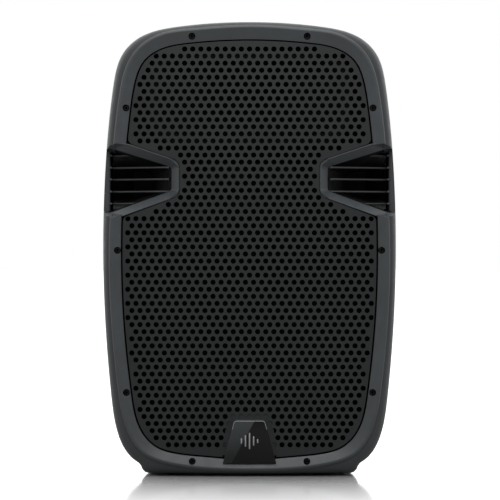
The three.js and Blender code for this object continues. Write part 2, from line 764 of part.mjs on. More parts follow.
// A closed profile of a plain ring.
const ringProfile = (inner, outer, y0, y1) => [
  [inner, y0], [outer, y0], [outer, y1], [inner, y1], [inner, y0],
];
add(
  "woofer_voice_coil",
  turned(ringProfile(COIL_R, COIL_R + 1.2, -102, -48), 28),
  copper,
  woofer,
);

// A corrugated disc round the voice coil.
function spider() {
  const ripple = [0, 1, 2, 3, 4].map((i) => [
    42 + i * 11,
    -75.5 + (i % 2 ? -1.6 : 1.6) + (i * 3.6) / 4,
  ]);
  const rippleBack = [...ripple].reverse().map(([radius, y]) => [radius, y + 0.8]);
  return turned(
    [
      [39.8, -75.6], ...ripple, [92, -70.6],
      [92, -69.9], ...rippleBack, [39.8, -74.8], [39.8, -75.6],
    ],
    20,
  );
}
add("woofer_spider", spider(), cloth, woofer);
add("woofer_top_plate", turned(ringProfile(39.9, 86, -63, -55), 28), steel, woofer);
add(
  "woofer_magnet",
  turned(
    [
      [46, -54.65], [88, -54.65], [90, -52.6], [90, -36.7],
      [88, -34.65], [46, -34.65], [46, -54.65],
    ],
    24,
  ),
  ferrite,
  woofer,
);
add(
  "woofer_yoke",
  turned(
    [
      [12, -24], [12, -60], [36.4, -60], [36.4, -34.3],
      [84, -34.3], [84, -28], [60, -24], [12, -24],
    ],
    24,
  ),
  steel,
  woofer,
);

// ---------------------------------------------------------------- horn and driver
const MOUTH_Y = -159;
const THROAT_Y = -22;
// The flare: [y, half width, half height, oval power].
const FLARE = [
  [MOUTH_Y, HORN_HALF_WIDTH, HORN_HALF_HEIGHT, 6],
  [-145, 125, 52, 5],
  [-120, 95, 40, 4],
  [-90, 62, 29, 3],
  [-60, 36, 21, 2.5],
  [-38, 20, 16, 2],
  [THROAT_Y, THROAT_R, THROAT_R, 2],
];
// The flare grown by a distance, with its two end sections moved to the given depths.
const flare = (growth, mouthY, throatY) =>
  loft(
    FLARE.map(([y, halfX, halfZ, power], i) => [
      i === 0 ? mouthY : i === FLARE.length - 1 ? throatY : y,
      oval(0, HORN_Z, halfX + growth, halfZ + growth, power),
    ]),
  );
add(
  "horn",
  cut(
    join(
      flare(3.5, -156.5, THROAT_Y),
      prismY(roundedRect(0, HORN_Z, 150, 70, 40, 4), -157.4, BAFFLE_Y - GAP),
      rodY(30, 0, HORN_Z, THROAT_Y - 6, THROAT_Y, 24),
    ),
    flare(0, MOUTH_Y, THROAT_Y + 2),
  ),
  black,
);

const driver = addGroup(cabinet, 0, 0, HORN_Z);
const DRIVER_FACE_Y = THROAT_Y + GAP;
add(
  "compression_driver",
  turned(
    [
      [0, 4], [34, 4], [34, -8], [12.6, -8], [12.6, DRIVER_FACE_Y], [30, DRIVER_FACE_Y],
      [30, -14], [56, -14], [58, -12], [58, 28], [56, 30], [42, 30], [40, 38], [0, 38],
    ],
    16,
  ),
  painted,
  driver,
);
add(
  "tweeter_diaphragm",
  turned(
    [
      [0, -1], [12, -1.6], [24, -4.6], [31.5, -4.6],
      [31.5, -4], [24, -4], [12, -1], [0, -0.4],
    ],
    16,
  ),
  aluminium,
  driver,
);

// ---------------------------------------------------------------- amplifier
const amp = addGroup(cabinet, 0, 0, 0);
const FACE = TRAY_Y + GAP + PANEL_T; // the panel's outer face
const SEAT = FACE + GAP; // where a fitting's flange rests on the panel
const JACK_Z = 300;
const KNOB_Z = 258;
const BUTTON_Z = 230;
const CONTROL_HOLE_R = 3.7;
// The fittings in rows: [name, x].
const row = (names, start, pitch) => names.map((name, i) => [name, start + i * pitch]);
const JACKS = row(["combo_jack_a", "combo_jack_b", "link_jack"], -48, 48);
const KNOBS = row(
  ["knob_level_a", "knob_level_b", "knob_bass", "knob_treble", "knob_main"],
  -60,
  30,
);
const BUTTONS = row(["pad_button_a", "pad_button_b"], -60, 30);
const ROCKER = [52, 190]; // the power rocker's centre
const INLET = [-35, 190]; // the mains inlet's centre
const [INLET_X, INLET_Z] = INLET;
const FUSE = [INLET_X, INLET_Z - 10.9]; // the fuse drawer's centre

const panelHalf = TRAY_HALF - 0.5;
add(
  "amp_panel",
  cut(
    box(-panelHalf, panelHalf, TRAY_Y + GAP, FACE, TRAY_LOW + 0.5, TRAY_HIGH - 0.5),
    JACKS.map(([, x]) => rodY(12, x, JACK_Z, 150, 170, 14)),
    KNOBS.map(([, x]) => rodY(CONTROL_HOLE_R, x, KNOB_Z, 150, 170, 8)),
    BUTTONS.map(([, x]) => rodY(CONTROL_HOLE_R, x, BUTTON_Z, 150, 170, 8)),
    block(...ROCKER, 12.4, 10.4, 150, 170),
    block(...INLET, 23.4, 18.4, 150, 170),
    panelScrewPlaces.map(([x, z]) => rodY(2.2, x, z, 150, 170, 6)),
  ),
  painted,
  amp,
);

const SINK = { half: 73.2, low: 352, high: 476 };
const FIN = { count: 13, pitch: 12, thickness: 2.4 };
function heatSink() {
  const fins = Array.from({ length: FIN.count }, (_, i) => {
    const x = -SINK.half + i * FIN.pitch;
    return box(x, x + FIN.thickness, FACE + 3, 178, SINK.low, SINK.high);
  });
  return join(box(-SINK.half, SINK.half, SEAT, FACE + 4, SINK.low, SINK.high), fins);
}
add("heat_sink", heatSink(), aluminium, amp);

const jackBody = (x) =>
  join(
    prismY(roundedRect(x, JACK_Z, 13, 15.5, 3, 3), SEAT, FACE + 2.1),
    rodY(11.4, x, JACK_Z, 141, FACE + 1, 14),
  ).subtract(rodY(9.6, x, JACK_Z, 150, 175, 14));
// The link jack's three pins.
const jackPins = (x) =>
  [90, 210, 330].map((degrees) => {
    const angle = (degrees * Math.PI) / 180;
    const pinX = x + 4.2 * Math.cos(angle);
    return rodY(1.2, pinX, JACK_Z + 4.2 * Math.sin(angle), 149, 160, 8);
  });
// A combo jack's middle sleeve.
const jackSleeve = (x) =>
  rodY(5.6, x, JACK_Z, 149, 162, 12).subtract(rodY(3.3, x, JACK_Z, 146, 170, 8));
for (const [name, x] of JACKS) {
  const isLink = name === "link_jack";
  const contacts = isLink ? jackPins(x) : jackSleeve(x);
  add(name, join(jackBody(x), contacts), isLink ? zinc : black, amp);
}

// A skirted knob with a raised pointer.
const knob = join(
  turned(
    [
      [0, 150.6], [3, 150.6], [3, 162.4], [8.6, 162.4],
      [8.6, 164.6], [7, 165], [6.4, 176], [0, 176],
    ],
    12,
  ),
  box(-0.7, 0.7, 165, 176.6, 0.5, 7.4),
);
for (const [name, x] of KNOBS) add(name, knob, knobGrey, amp, [x, 0, KNOB_Z]);

const button = turned([[0, 152], [3, 152], [3, 166.4], [2.6, 167], [0, 167]], 14);
for (const [name, x] of BUTTONS) add(name, button, buttonGrey, amp, [x, 0, BUTTON_Z]);

// The power switch: a frame, and a rocker tipped in it.
add(
  "rocker_frame",
  cut(
    join(
      prismY(roundedRect(...ROCKER, 15, 13, 1.5, 2), SEAT, FACE + 2.1),
      block(...ROCKER, 12, 10, 145, FACE + 1),
    ),
    block(...ROCKER, 9.5, 7.6, 148, 180),
  ),
  black,
  amp,
);
const rockerGroup = addGroup(amp, ROCKER[0], 159.5, ROCKER[1]);
rockerGroup.rotation.x = (-12 * Math.PI) / 180;
add(
  "power_rocker",
  prismX(
    [[-2.5, -3], [-2.5, 3], [1, 5.6], [5, 5.6], [3.6, 0], [5, -5.6], [1, -5.6]],
    -8.9,
    8.9,
  ),
  black,
  rockerGroup,
);

// The inlet's socket and its three blades, as [x, z] from the inlet's centre.
const INLET_SOCKET = [[-12, -3.2], [-12, 9.4], [-8.6, 12.8], [8.6, 12.8], [12, 9.4], [12, -3.2]];
const INLET_BLADES = [[-7, 3], [0, 7.4], [7, 3]];
add(
  "mains_inlet",
  join(
    cut(
      join(
        prismY(roundedRect(...INLET, 26, 21, 2, 2), SEAT, FACE + 2.4),
        block(...INLET, 23, 18, 140, FACE + 1),
      ),
      prismY(INLET_SOCKET.map(([x, z]) => [INLET_X + x, INLET_Z + z]), 147, 180),
      block(...FUSE, 11.6, 3.5, 143, 180),
    ),
    INLET_BLADES.map(([x, z]) => block(INLET_X + x, INLET_Z + z, 1, 2.4, 146, 160)),
  ),
  black,
  amp,
);
add(
  "fuse_drawer",
  join(block(...FUSE, 11, 3, 144, 164.2), block(...FUSE, 4, 1.5, 164, 165.6)),
  black,
  amp,
);

const panelScrew = turned(
  [[0, 148], [1.6, 149], [1.6, 161.8], [4, 161.8], [3.4, 163.4], [0, 164]],
  8,
);
for (const [side, sign] of Object.entries(SIDES))
  for (const [level, z] of [["lower", PANEL_SCREW_LOW], ["upper", PANEL_SCREW_HIGH]])
    add(`panel_screw_${side}_${level}`, panelScrew, zinc, amp, [sign * PANEL_SCREW_X, 0, z]);

const STANDOFF_END = 157.9; // just short of the tray's floor
add(
  "amp_board",
  join(
    box(-74, 74, 118, 119.6, 346, 476),
    box(-60, 60, 119, STANDOFF_END, 400, 430),
    corners(68, 351, 471).map(([x, z]) => rodY(3, x, z, 119, STANDOFF_END, 6)),
    // four cylinders and a block on the front of the board
    [-50, -22, 22, 50].map((x) => rodY(11, x, 365, 88, 118.5, 12)),
    box(-40, 40, 96, 118.5, 440, 466),
  ),
  board,
  amp,
);
add(
  "control_board",
  join(
    box(-72, 72, 138, 139.6, 222, 318),
    KNOBS.map(([, x]) => block(x, KNOB_Z, 6, 7, 139.2, 149.6)),
    BUTTONS.map(([, x]) => block(x, BUTTON_Z, 4, 4, 139.2, 149.4)),
    corners(68, 226, 314).map(([x, z]) => rodY(2.6, x, z, 139, STANDOFF_END, 6)),
  ),
  board,
  amp,
);
add(
  "transformer",
  turnedZ(
    [
      [0, 6.6], [43, 6.6], [46, 9], [46, 41], [43, 44],
      [22, 44], [22, 45.4], [6, 45.4], [6, 50], [0, 50],
    ],
    20,
  ),
  copper,
  cabinet,
  [0, 112, 0],
);

export default cabinet;
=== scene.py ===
# A powered two-way loudspeaker: a moulded cabinet with a steel grille over the woofer and the
# horn, a louvred window at each side, and an amplifier panel in a tray at the back.
# It stands on z = 0 and faces -Y, with x = 0 down its middle; "right" is +X, "inner" is
# towards the middle. Lengths are in mm until a mesh or an object is placed, then in metres.
import json
import math
import bmesh
import bpy
import numpy as np
from mathutils import Matrix, Vector
from mathutils.geometry import delaunay_2d_cdt
from mathutils.kdtree import KDTree


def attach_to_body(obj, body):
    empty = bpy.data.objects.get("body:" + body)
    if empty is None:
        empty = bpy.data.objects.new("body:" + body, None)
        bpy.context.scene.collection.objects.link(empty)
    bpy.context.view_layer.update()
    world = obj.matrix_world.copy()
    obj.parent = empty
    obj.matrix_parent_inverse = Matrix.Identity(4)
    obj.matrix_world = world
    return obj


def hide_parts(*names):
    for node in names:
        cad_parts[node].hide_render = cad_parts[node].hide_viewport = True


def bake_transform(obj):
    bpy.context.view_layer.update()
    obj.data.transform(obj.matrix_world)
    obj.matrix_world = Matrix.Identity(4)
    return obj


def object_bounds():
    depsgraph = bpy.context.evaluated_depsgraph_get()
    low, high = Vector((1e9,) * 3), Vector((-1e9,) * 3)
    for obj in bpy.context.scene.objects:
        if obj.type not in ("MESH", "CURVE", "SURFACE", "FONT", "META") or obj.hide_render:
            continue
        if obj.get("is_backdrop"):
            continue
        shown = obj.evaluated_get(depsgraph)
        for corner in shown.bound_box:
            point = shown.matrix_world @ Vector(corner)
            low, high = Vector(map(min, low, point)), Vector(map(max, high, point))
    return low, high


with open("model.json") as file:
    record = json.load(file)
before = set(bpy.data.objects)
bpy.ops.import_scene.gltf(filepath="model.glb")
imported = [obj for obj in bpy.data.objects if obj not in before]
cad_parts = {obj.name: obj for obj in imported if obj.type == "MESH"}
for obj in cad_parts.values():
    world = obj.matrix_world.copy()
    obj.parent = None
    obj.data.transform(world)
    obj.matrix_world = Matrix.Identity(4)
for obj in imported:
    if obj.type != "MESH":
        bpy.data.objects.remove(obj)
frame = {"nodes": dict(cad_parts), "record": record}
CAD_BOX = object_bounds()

MM = 0.001
SIDES = (("right", 1), ("left", -1))


# ------------------------------------------------------------------ the cabinet's outlines
def outline(text):
    """An array of x, z pairs from text."""
    return np.array(text.replace(",", " ").split(), float).reshape(-1, 2)


# Half outlines seen from the front: x z pairs from the top centre, clockwise, to the bottom
# centre. First the seam between the baffle and the shell.
SEAM = outline("""
0 668.06, 6.14 668.02, 12.28 667.91, 18.42 667.72, 24.55 667.48, 30.68 667.17, 36.81 666.82,
42.94 666.42, 49.07 665.98, 55.19 665.52, 61.31 665.03, 67.43 664.52, 73.55 664, 79.66 663.47,
85.78 662.95, 91.9 662.42, 98.02 661.87, 104.12 661.23, 110.21 660.45, 116.27 659.45,
122.28 658.2, 128.21 656.62, 134.03 654.66, 139.7 652.3, 145.19 649.56, 150.49 646.45,
155.55 642.98, 160.35 639.15, 164.85 634.98, 172.24 626.4, 178.26 616.8, 182.98 606.5,
186.6 595.77, 189.38 584.78, 191.56 573.66, 193.35 562.46, 194.97 551.24, 196.5 540.01,
197.92 528.77, 199.19 517.5, 200.29 506.22, 201.25 494.93, 202.07 483.62, 202.79 472.31,
203.42 460.99, 203.98 449.67, 204.48 438.35, 204.95 427.02, 205.41 415.69, 205.87 404.37,
206.35 393.04, 206.86 381.72, 207.36 370.39, 207.76 359.07, 208.04 347.73, 208.2 336.4,
208.25 325.07, 208.21 314.55, 208.07 304.04, 207.85 293.53, 207.55 283.02, 207.16 272.52,
206.7 262.02, 206.16 251.52, 205.55 241.02, 204.87 230.53, 204.12 220.05, 203.3 209.57,
202.43 199.09, 201.5 188.62, 200.5 178.15, 199.46 167.69, 198.36 157.24, 197.21 146.79,
196.02 136.35, 194.74 125.91, 193.29 115.5, 191.58 105.13, 189.53 94.82, 187.07 84.6,
184.09 74.52, 180.44 64.66, 175.92 55.18, 170.34 46.28, 163.54 38.28, 159.03 34.24,
154.13 30.68, 148.93 27.6, 143.49 24.94, 137.88 22.66, 132.15 20.72, 126.32 19.09,
120.43 17.69, 114.5 16.45, 108.55 15.31, 102.59 14.27, 96.61 13.32, 90.62 12.46, 84.61 11.7,
78.6 11.01, 72.57 10.4, 66.54 9.87, 60.5 9.41, 54.46 9.01, 48.42 8.67, 42.37 8.39, 36.32 8.16,
30.27 7.98, 24.22 7.84, 18.16 7.74, 12.11 7.67, 6.05 7.63, 0 7.62
""")
# the shell at its widest
GIRTH = outline("""
0 674.32, 6.69 674.31, 13.37 674.26, 20.06 674.16, 26.74 674.01, 33.42 673.8, 40.11 673.54,
46.78 673.23, 53.46 672.85, 60.13 672.42, 66.8 671.92, 73.46 671.36, 80.12 670.74, 86.77 670.05,
93.41 669.3, 100.05 668.48, 106.67 667.59, 113.29 666.63, 119.9 665.6, 126.48 664.43,
133.03 663.09, 139.53 661.51, 145.94 659.63, 152.24 657.39, 158.37 654.73, 164.29 651.61,
169.92 648.02, 175.24 643.97, 180.17 639.46, 187.21 631.22, 192.76 621.91, 196.79 611.85,
199.65 601.39, 201.73 590.74, 203.41 580.02, 204.92 569.28, 206.3 558.52, 207.57 547.74,
208.75 536.96, 209.84 526.17, 210.86 515.37, 211.8 504.56, 212.67 493.74, 213.48 482.92,
214.22 472.1, 214.9 461.27, 215.52 450.44, 216.08 439.61, 216.58 428.77, 217.02 417.93,
217.4 407.09, 217.72 396.24, 217.99 385.4, 218.19 374.55, 218.34 363.7, 218.42 352.85,
218.45 342, 218.42 330.51, 218.32 319.01, 218.16 307.51, 217.93 296.02, 217.64 284.52,
217.29 273.03, 216.87 261.54, 216.38 250.06, 215.84 238.57, 215.23 227.09, 214.56 215.61,
213.82 204.14, 213.03 192.67, 212.18 181.2, 211.27 169.74, 210.31 158.28, 209.29 146.83,
208.21 135.39, 207.08 123.94, 205.9 112.51, 204.61 101.08, 203.04 89.69, 201.04 78.37,
198.42 67.18, 195.04 56.19, 190.7 45.55, 185.07 35.54, 177.81 26.65, 172.68 22.16,
167.01 18.38, 162.4 15.27, 161.01 8.62, 156.52 3.67, 150.04 2, 143.22 2, 136.4 2, 129.58 2,
122.76 2, 115.94 2, 109.12 2, 102.3 2, 95.48 2, 88.66 2, 81.84 2, 75.02 2, 68.2 2, 61.38 2,
54.56 2, 47.74 2, 40.92 2, 34.1 2, 27.28 2, 20.46 2, 13.64 2, 6.82 2, 0 2
""")
# the inner end of the bezel's sloping front
BEVEL = outline("""
0 645.05, 5.61 645.04, 11.22 644.99, 16.83 644.89, 22.44 644.75, 28.05 644.57, 33.65 644.34,
39.26 644.07, 44.86 643.77, 50.46 643.43, 56.06 643.05, 61.65 642.64, 67.24 642.19,
72.83 641.71, 78.42 641.2, 84 640.66, 89.58 640.09, 95.16 639.47, 100.73 638.77, 106.28 637.93,
111.79 636.92, 117.26 635.68, 122.67 634.17, 127.97 632.35, 133.15 630.19, 138.15 627.65,
142.94 624.73, 147.45 621.4, 151.61 617.64, 158.08 609.53, 162.89 600.33, 166.4 590.55,
169.03 580.49, 171.13 570.31, 172.86 560.06, 174.33 549.76, 175.66 539.45, 176.92 529.13,
178.12 518.8, 179.24 508.47, 180.3 498.13, 181.29 487.78, 182.21 477.42, 183.07 467.06,
183.86 456.69, 184.59 446.32, 185.25 435.95, 185.85 425.57, 186.38 415.18, 186.85 404.8,
187.26 394.41, 187.6 384.02, 187.89 373.63, 188.11 363.23, 188.27 352.84, 188.37 342.44,
188.4 332.04, 188.37 321.83, 188.27 311.62, 188.11 301.41, 187.88 291.2, 187.58 281,
187.21 270.79, 186.77 260.59, 186.25 250.39, 185.66 240.2, 185 230.01, 184.25 219.83,
183.43 209.65, 182.54 199.47, 181.58 189.31, 180.55 179.15, 179.46 169, 178.31 158.85,
177.1 148.71, 175.83 138.58, 174.52 128.45, 173.15 118.33, 171.65 108.23, 169.81 98.19,
167.38 88.28, 164.15 78.59, 159.89 69.32, 154.45 60.69, 147.82 52.94, 143.78 49.27,
139.42 45.99, 134.75 43.17, 129.8 40.87, 124.66 39.04, 119.41 37.56, 114.09 36.32,
108.74 35.25, 103.36 34.34, 97.95 33.56, 92.54 32.88, 87.11 32.29, 81.68 31.76, 76.24 31.26,
70.81 30.77, 65.37 30.28, 59.93 29.8, 54.49 29.33, 49.05 28.87, 43.61 28.43, 38.17 28.02,
32.72 27.65, 27.28 27.31, 21.83 27.03, 16.37 26.79, 10.92 26.62, 5.46 26.51, 0 26.47
""")
# the recess in the baffle, drawn in round the side windows
RECESS = outline("""
0 646.15, 7.03 646.13, 14.12 646.04, 21.21 645.88, 30.09 645.59, 37.19 645.28, 46.07 644.8,
53.18 644.35, 62.06 643.71, 70.95 642.98, 79.83 642.17, 88.72 641.28, 95.82 640.5,
101.14 639.82, 104.67 639.31, 106.43 639.02, 109.94 638.4, 111.69 638.06, 115.18 637.31,
118.63 636.47, 120.35 636, 122.07 635.5, 123.77 634.98, 125.47 634.42, 127.15 633.83,
128.83 633.2, 130.5 632.54, 132.16 631.84, 133.8 631.09, 135.44 630.31, 137.06 629.49,
138.66 628.63, 140.23 627.73, 141.79 626.79, 143.31 625.81, 144.81 624.78, 146.28 623.72,
147.71 622.61, 149.1 621.47, 150.45 620.28, 151.76 619.05, 153.02 617.78, 154.23 616.46,
155.39 615.11, 156.5 613.72, 157.55 612.28, 158.55 610.82, 159.51 609.32, 160.42 607.79,
161.28 606.24, 162.1 604.65, 162.88 603.05, 163.62 601.41, 164.32 599.76, 164.99 598.09,
165.62 596.4, 166.23 594.7, 166.8 592.98, 167.86 589.51, 168.35 587.76, 169.27 584.25,
169.7 582.48, 170.5 578.96, 171.25 575.44, 171.95 571.91, 172.6 568.39, 173.2 564.87,
173.77 561.36, 174.3 557.84, 175.3 550.81, 176.67 540.27, 177.96 529.72, 179.38 517.4,
180.7 505.07, 181.94 492.63, 112.32 468.84, 111.17 468.38, 110.07 467.8, 109.04 467.11,
108.08 466.32, 107.21 465.43, 106.44 464.46, 105.77 463.42, 105.21 462.31, 104.77 461.15,
104.46 459.95, 104.26 458.72, 104.2 457.48, 104.2 423.47, 104.26 422.25, 104.45 421.03,
104.76 419.85, 105.19 418.7, 105.73 417.6, 106.38 416.57, 107.14 415.6, 107.99 414.72,
108.92 413.93, 109.94 413.23, 111.01 412.65, 112.14 412.18, 188.68 384.67, 189.06 370.51,
189.3 358.06, 189.46 343.83, 189.5 331.38, 189.45 318.92, 189.32 308.25, 189.13 297.59,
188.86 286.92, 188.52 276.27, 188.09 265.63, 187.59 255, 187.01 244.38, 186.35 233.77,
185.61 223.18, 184.78 212.61, 183.88 202.04, 182.9 191.48, 181.84 180.91, 180.71 170.34,
179.31 157.99, 178.04 147.39, 176.71 136.75, 175.07 124.31, 173.85 115.39, 173.05 110.04,
172.17 104.7, 171.52 101.17, 171.18 99.4, 170.44 95.9, 169.62 92.42, 169.18 90.69,
168.24 87.25, 167.2 83.86, 166.63 82.18, 166.05 80.51, 165.43 78.85, 164.78 77.2,
164.11 75.57, 163.4 73.95, 162.65 72.34, 161.87 70.75, 161.06 69.17, 160.21 67.61,
159.32 66.07, 158.39 64.55, 157.43 63.05, 156.43 61.57, 155.4 60.12, 154.33 58.69,
153.22 57.29, 152.08 55.92, 150.9 54.58, 149.69 53.27, 148.44 52, 147.15 50.77, 145.83 49.57,
144.48 48.41, 143.09 47.3, 141.67 46.23, 140.21 45.2, 138.72 44.22, 137.19 43.28, 135.64 42.4,
134.04 41.57, 132.42 40.8, 130.76 40.07, 129.08 39.4, 127.38 38.78, 125.66 38.2, 123.93 37.66,
122.18 37.16, 118.67 36.25, 115.14 35.43, 113.38 35.05, 109.85 34.34, 106.32 33.71, 101 32.87,
97.46 32.38, 92.14 31.73, 86.82 31.16, 79.72 30.47, 60.24 28.72, 49.63 27.81, 40.78 27.11,
31.93 26.49, 23.08 25.99, 16 25.68, 10.68 25.51, 7.13 25.43, 3.58 25.39, 0 25.37
""")
# the edge of the grille, which follows the recess
GRILLE = outline("""
0 644.65, 7.03 644.63, 14.09 644.54, 21.17 644.39, 30.03 644.09, 37.11 643.78, 45.98 643.3,
53.08 642.86, 61.94 642.21, 70.82 641.49, 79.7 640.68, 88.56 639.79, 95.64 639.02,
100.94 638.33, 104.44 637.82, 106.19 637.54, 109.67 636.93, 111.4 636.6, 114.84 635.85,
118.26 635.02, 121.64 634.07, 123.31 633.55, 124.99 633, 126.64 632.42, 128.29 631.8,
129.93 631.15, 131.56 630.46, 133.17 629.74, 134.78 628.97, 136.36 628.16, 137.93 627.32,
139.48 626.43, 140.99 625.51, 142.49 624.55, 143.95 623.55, 145.38 622.52, 146.78 621.44,
148.12 620.32, 149.44 619.17, 150.71 617.97, 151.94 616.74, 153.11 615.46, 154.23 614.16,
155.31 612.81, 156.33 611.42, 157.3 610, 158.24 608.54, 159.12 607.05, 159.96 605.53,
160.76 603.98, 161.52 602.41, 162.25 600.81, 162.94 599.19, 163.59 597.55, 164.22 595.89,
164.8 594.21, 165.37 592.51, 166.41 589.1, 166.91 587.36, 167.81 583.89, 168.24 582.13,
169.04 578.64, 169.79 575.13, 170.48 571.63, 171.12 568.13, 171.72 564.63, 172.29 561.13,
173.07 555.87, 173.81 550.61, 174.5 545.35, 176.04 533.06, 176.89 526.03, 177.89 517.24,
178.85 508.44, 179.65 500.51, 179.69 499.56, 179.63 498.59, 179.45 497.64, 179.17 496.7,
178.79 495.81, 178.31 494.96, 177.74 494.18, 177.09 493.46, 176.35 492.82, 175.71 492.02,
174.91 491.38, 174.05 490.84, 112.23 469.23, 111.01 468.74, 109.87 468.14, 108.79 467.43,
107.81 466.61, 106.91 465.7, 106.12 464.69, 105.43 463.62, 104.85 462.47, 104.4 461.27,
104.06 460.03, 103.87 458.77, 103.8 457.43, 103.8 423.51, 103.86 422.21, 104.06 420.96,
104.38 419.73, 104.82 418.55, 105.38 417.41, 106.05 416.34, 106.84 415.34, 107.71 414.42,
108.68 413.62, 109.73 412.89, 110.84 412.29, 112.05 411.79, 181.63 385.61, 182.42 385.28,
183.18 384.87, 183.91 384.39, 184.58 383.82, 185.18 383.21, 185.73 382.53, 186.21 381.8,
186.6 381.03, 186.92 380.22, 187.15 379.38, 187.3 378.53, 187.38 377.68, 187.64 366.91,
187.85 354.48, 187.97 342.04, 188 331.38, 187.95 318.93, 187.82 308.27, 187.63 297.61,
187.36 286.97, 187.02 276.33, 186.6 265.69, 186.1 255.07, 185.52 244.46, 184.86 233.87,
184.25 225.06, 183.43 214.49, 182.54 203.93, 181.58 193.38, 180.53 182.83, 179.42 172.26,
178.03 159.93, 176.76 149.34, 175.21 136.94, 173.58 124.51, 172.36 115.6, 171.57 110.27,
170.7 104.96, 170.05 101.45, 169.71 99.7, 168.97 96.23, 168.16 92.77, 167.73 91.06,
166.79 87.67, 165.77 84.33, 165.21 82.66, 164.64 81.01, 164.03 79.38, 163.39 77.76,
162.72 76.16, 162.03 74.56, 161.29 72.99, 160.54 71.43, 159.73 69.88, 158.9 68.35,
158.02 66.83, 157.12 65.34, 156.17 63.87, 155.2 62.42, 154.19 61, 153.13 59.6, 152.05 58.24,
150.94 56.9, 149.79 55.59, 148.61 54.31, 147.38 53.07, 146.13 51.87, 144.84 50.7,
143.53 49.57, 142.17 48.48, 140.78 47.43, 139.36 46.44, 137.92 45.48, 136.43 44.58,
134.91 43.72, 133.37 42.91, 131.79 42.16, 130.19 41.45, 128.55 40.81, 126.88 40.2, 125.2 39.63,
123.5 39.1, 121.77 38.6, 118.31 37.7, 114.82 36.89, 113.07 36.51, 109.57 35.81, 106.07 35.19,
100.79 34.36, 97.26 33.87, 91.97 33.21, 86.66 32.64, 79.58 31.96, 60.11 30.21, 49.51 29.3,
40.67 28.6, 31.83 27.99, 23.01 27.48, 15.94 27.18, 10.64 27.01, 7.1 26.93, 3.57 26.89, 0 26.87
""")

# ------------------------------------------------------------------ driving dimensions
REAR = 180.0
WALL = 4.0
GAP = 0.35  # clearance between neighbouring parts
SEAM_Y, GIRTH_Y = -176.0, -142.0
BEVEL_Y = -173.5
BAFFLE_Y, BAFFLE_T = -152.0, 8.0  # front face and thickness of the baffle board
BEZEL_EDGE_R = 4.0
MIDDLE = 335.0  # the height from which the shell shrinks up and down
FACET_Y, FACET_HALF, REAR_HALF = 25.0, 197.7, 105.0  # slanted facets: half widths, front to rear
FACET_SLOPE = (FACET_HALF - REAR_HALF) / (REAR - FACET_Y)
FACET_SOFT = 17.0
REAR_ROUND = 11.0
HALF_POINTS = 181  # points on half a shell loop

WOOFER_Z, WOOFER_R = 230.0, 184.5
HORN_Z = 562.0
PORT_X, PORT_Z = 48, 455

TRAY_HALF, TRAY_LOW, TRAY_HIGH, TRAY_Y = 88.0, 150.0, 490.0, 158.0
TRAY_MID, TRAY_HALF_HIGH = (TRAY_LOW + TRAY_HIGH) / 2, (TRAY_HIGH - TRAY_LOW) / 2
PANEL_T = 3.0
FACE = TRAY_Y + GAP + PANEL_T  # the panel's rear face, which carries the controls

FOOT_R = 15.0
FEET = {  # x, y
    "front_right": (110, -112),
    "front_left": (-110, -112),
    "rear_right": (78, 138),
    "rear_left": (-78, 138),
}
# x, z of the right-hand baffle screws
SCREWS = [(85.2, 651.0), (182.6, 545.0), (195.3, 334.5), (182.0, 124.3), (84.7, 22.6)]

# The right window: x, z of its mouth and of its raised border, from the outer top round the
# inner end to the outer bottom, with the radius of each corner.
WINDOW_Y, CREST_Y = -164.0, -176.4
MOUTH = [
    (243.5, 486.2), (202.2, 484.9), (121, 459.8), (115.9, 456.7),
    (115.9, 424.5), (121, 421.1), (205.9, 390.2), (243.5, 387.3),
]
BORDER = [
    (243.5, 490.6), (181, 492.3), (116.6, 470.3), (104.2, 459.5),
    (104.2, 421.5), (116.8, 410.5), (187.5, 385.1), (243.5, 380),
]
MOUTH_RADII = [0, 30, 5, 5, 5, 5, 30, 0]
BORDER_RADII = [0, 40, 9, 9, 9, 9, 40, 0]
POCKET_Y = -50.0
POCKET_END = [(178, 457), (158, 455), (150, 449), (150, 426), (158, 420), (178, 417)]
POCKET_SIDE = (-100.0, 472.0, 401.5)  # y, top and bottom where the pocket leaves the side
SIDE_END = -98.0
SLAT_T = 2.7
SLAT_Z = [404.0, 421.9, 440.1, 457.7, 476.0]


# ------------------------------------------------------------------ outlines and curves
def whole(half):
    """The full clockwise loop from its right half."""
    return np.vstack([half, half[1:-1][::-1] * np.array([-1, 1])])


def unit(vectors):
    return vectors / np.maximum(np.linalg.norm(vectors, axis=1, keepdims=True), 1e-9)


def inset(loop, distance):
    """A clockwise loop moved inwards; an anticlockwise one moves outwards."""
    loop = np.array(loop, float)
    before = unit(loop - np.roll(loop, 1, 0))
    after = unit(np.roll(loop, -1, 0) - loop)
    out = unit(np.column_stack([-(before[:, 1] + after[:, 1]), before[:, 0] + after[:, 0]]))
    lean = np.maximum(0.5, out[:, 0] * -before[:, 1] + out[:, 1] * before[:, 0])
    return loop - out * distance / lean[:, None]


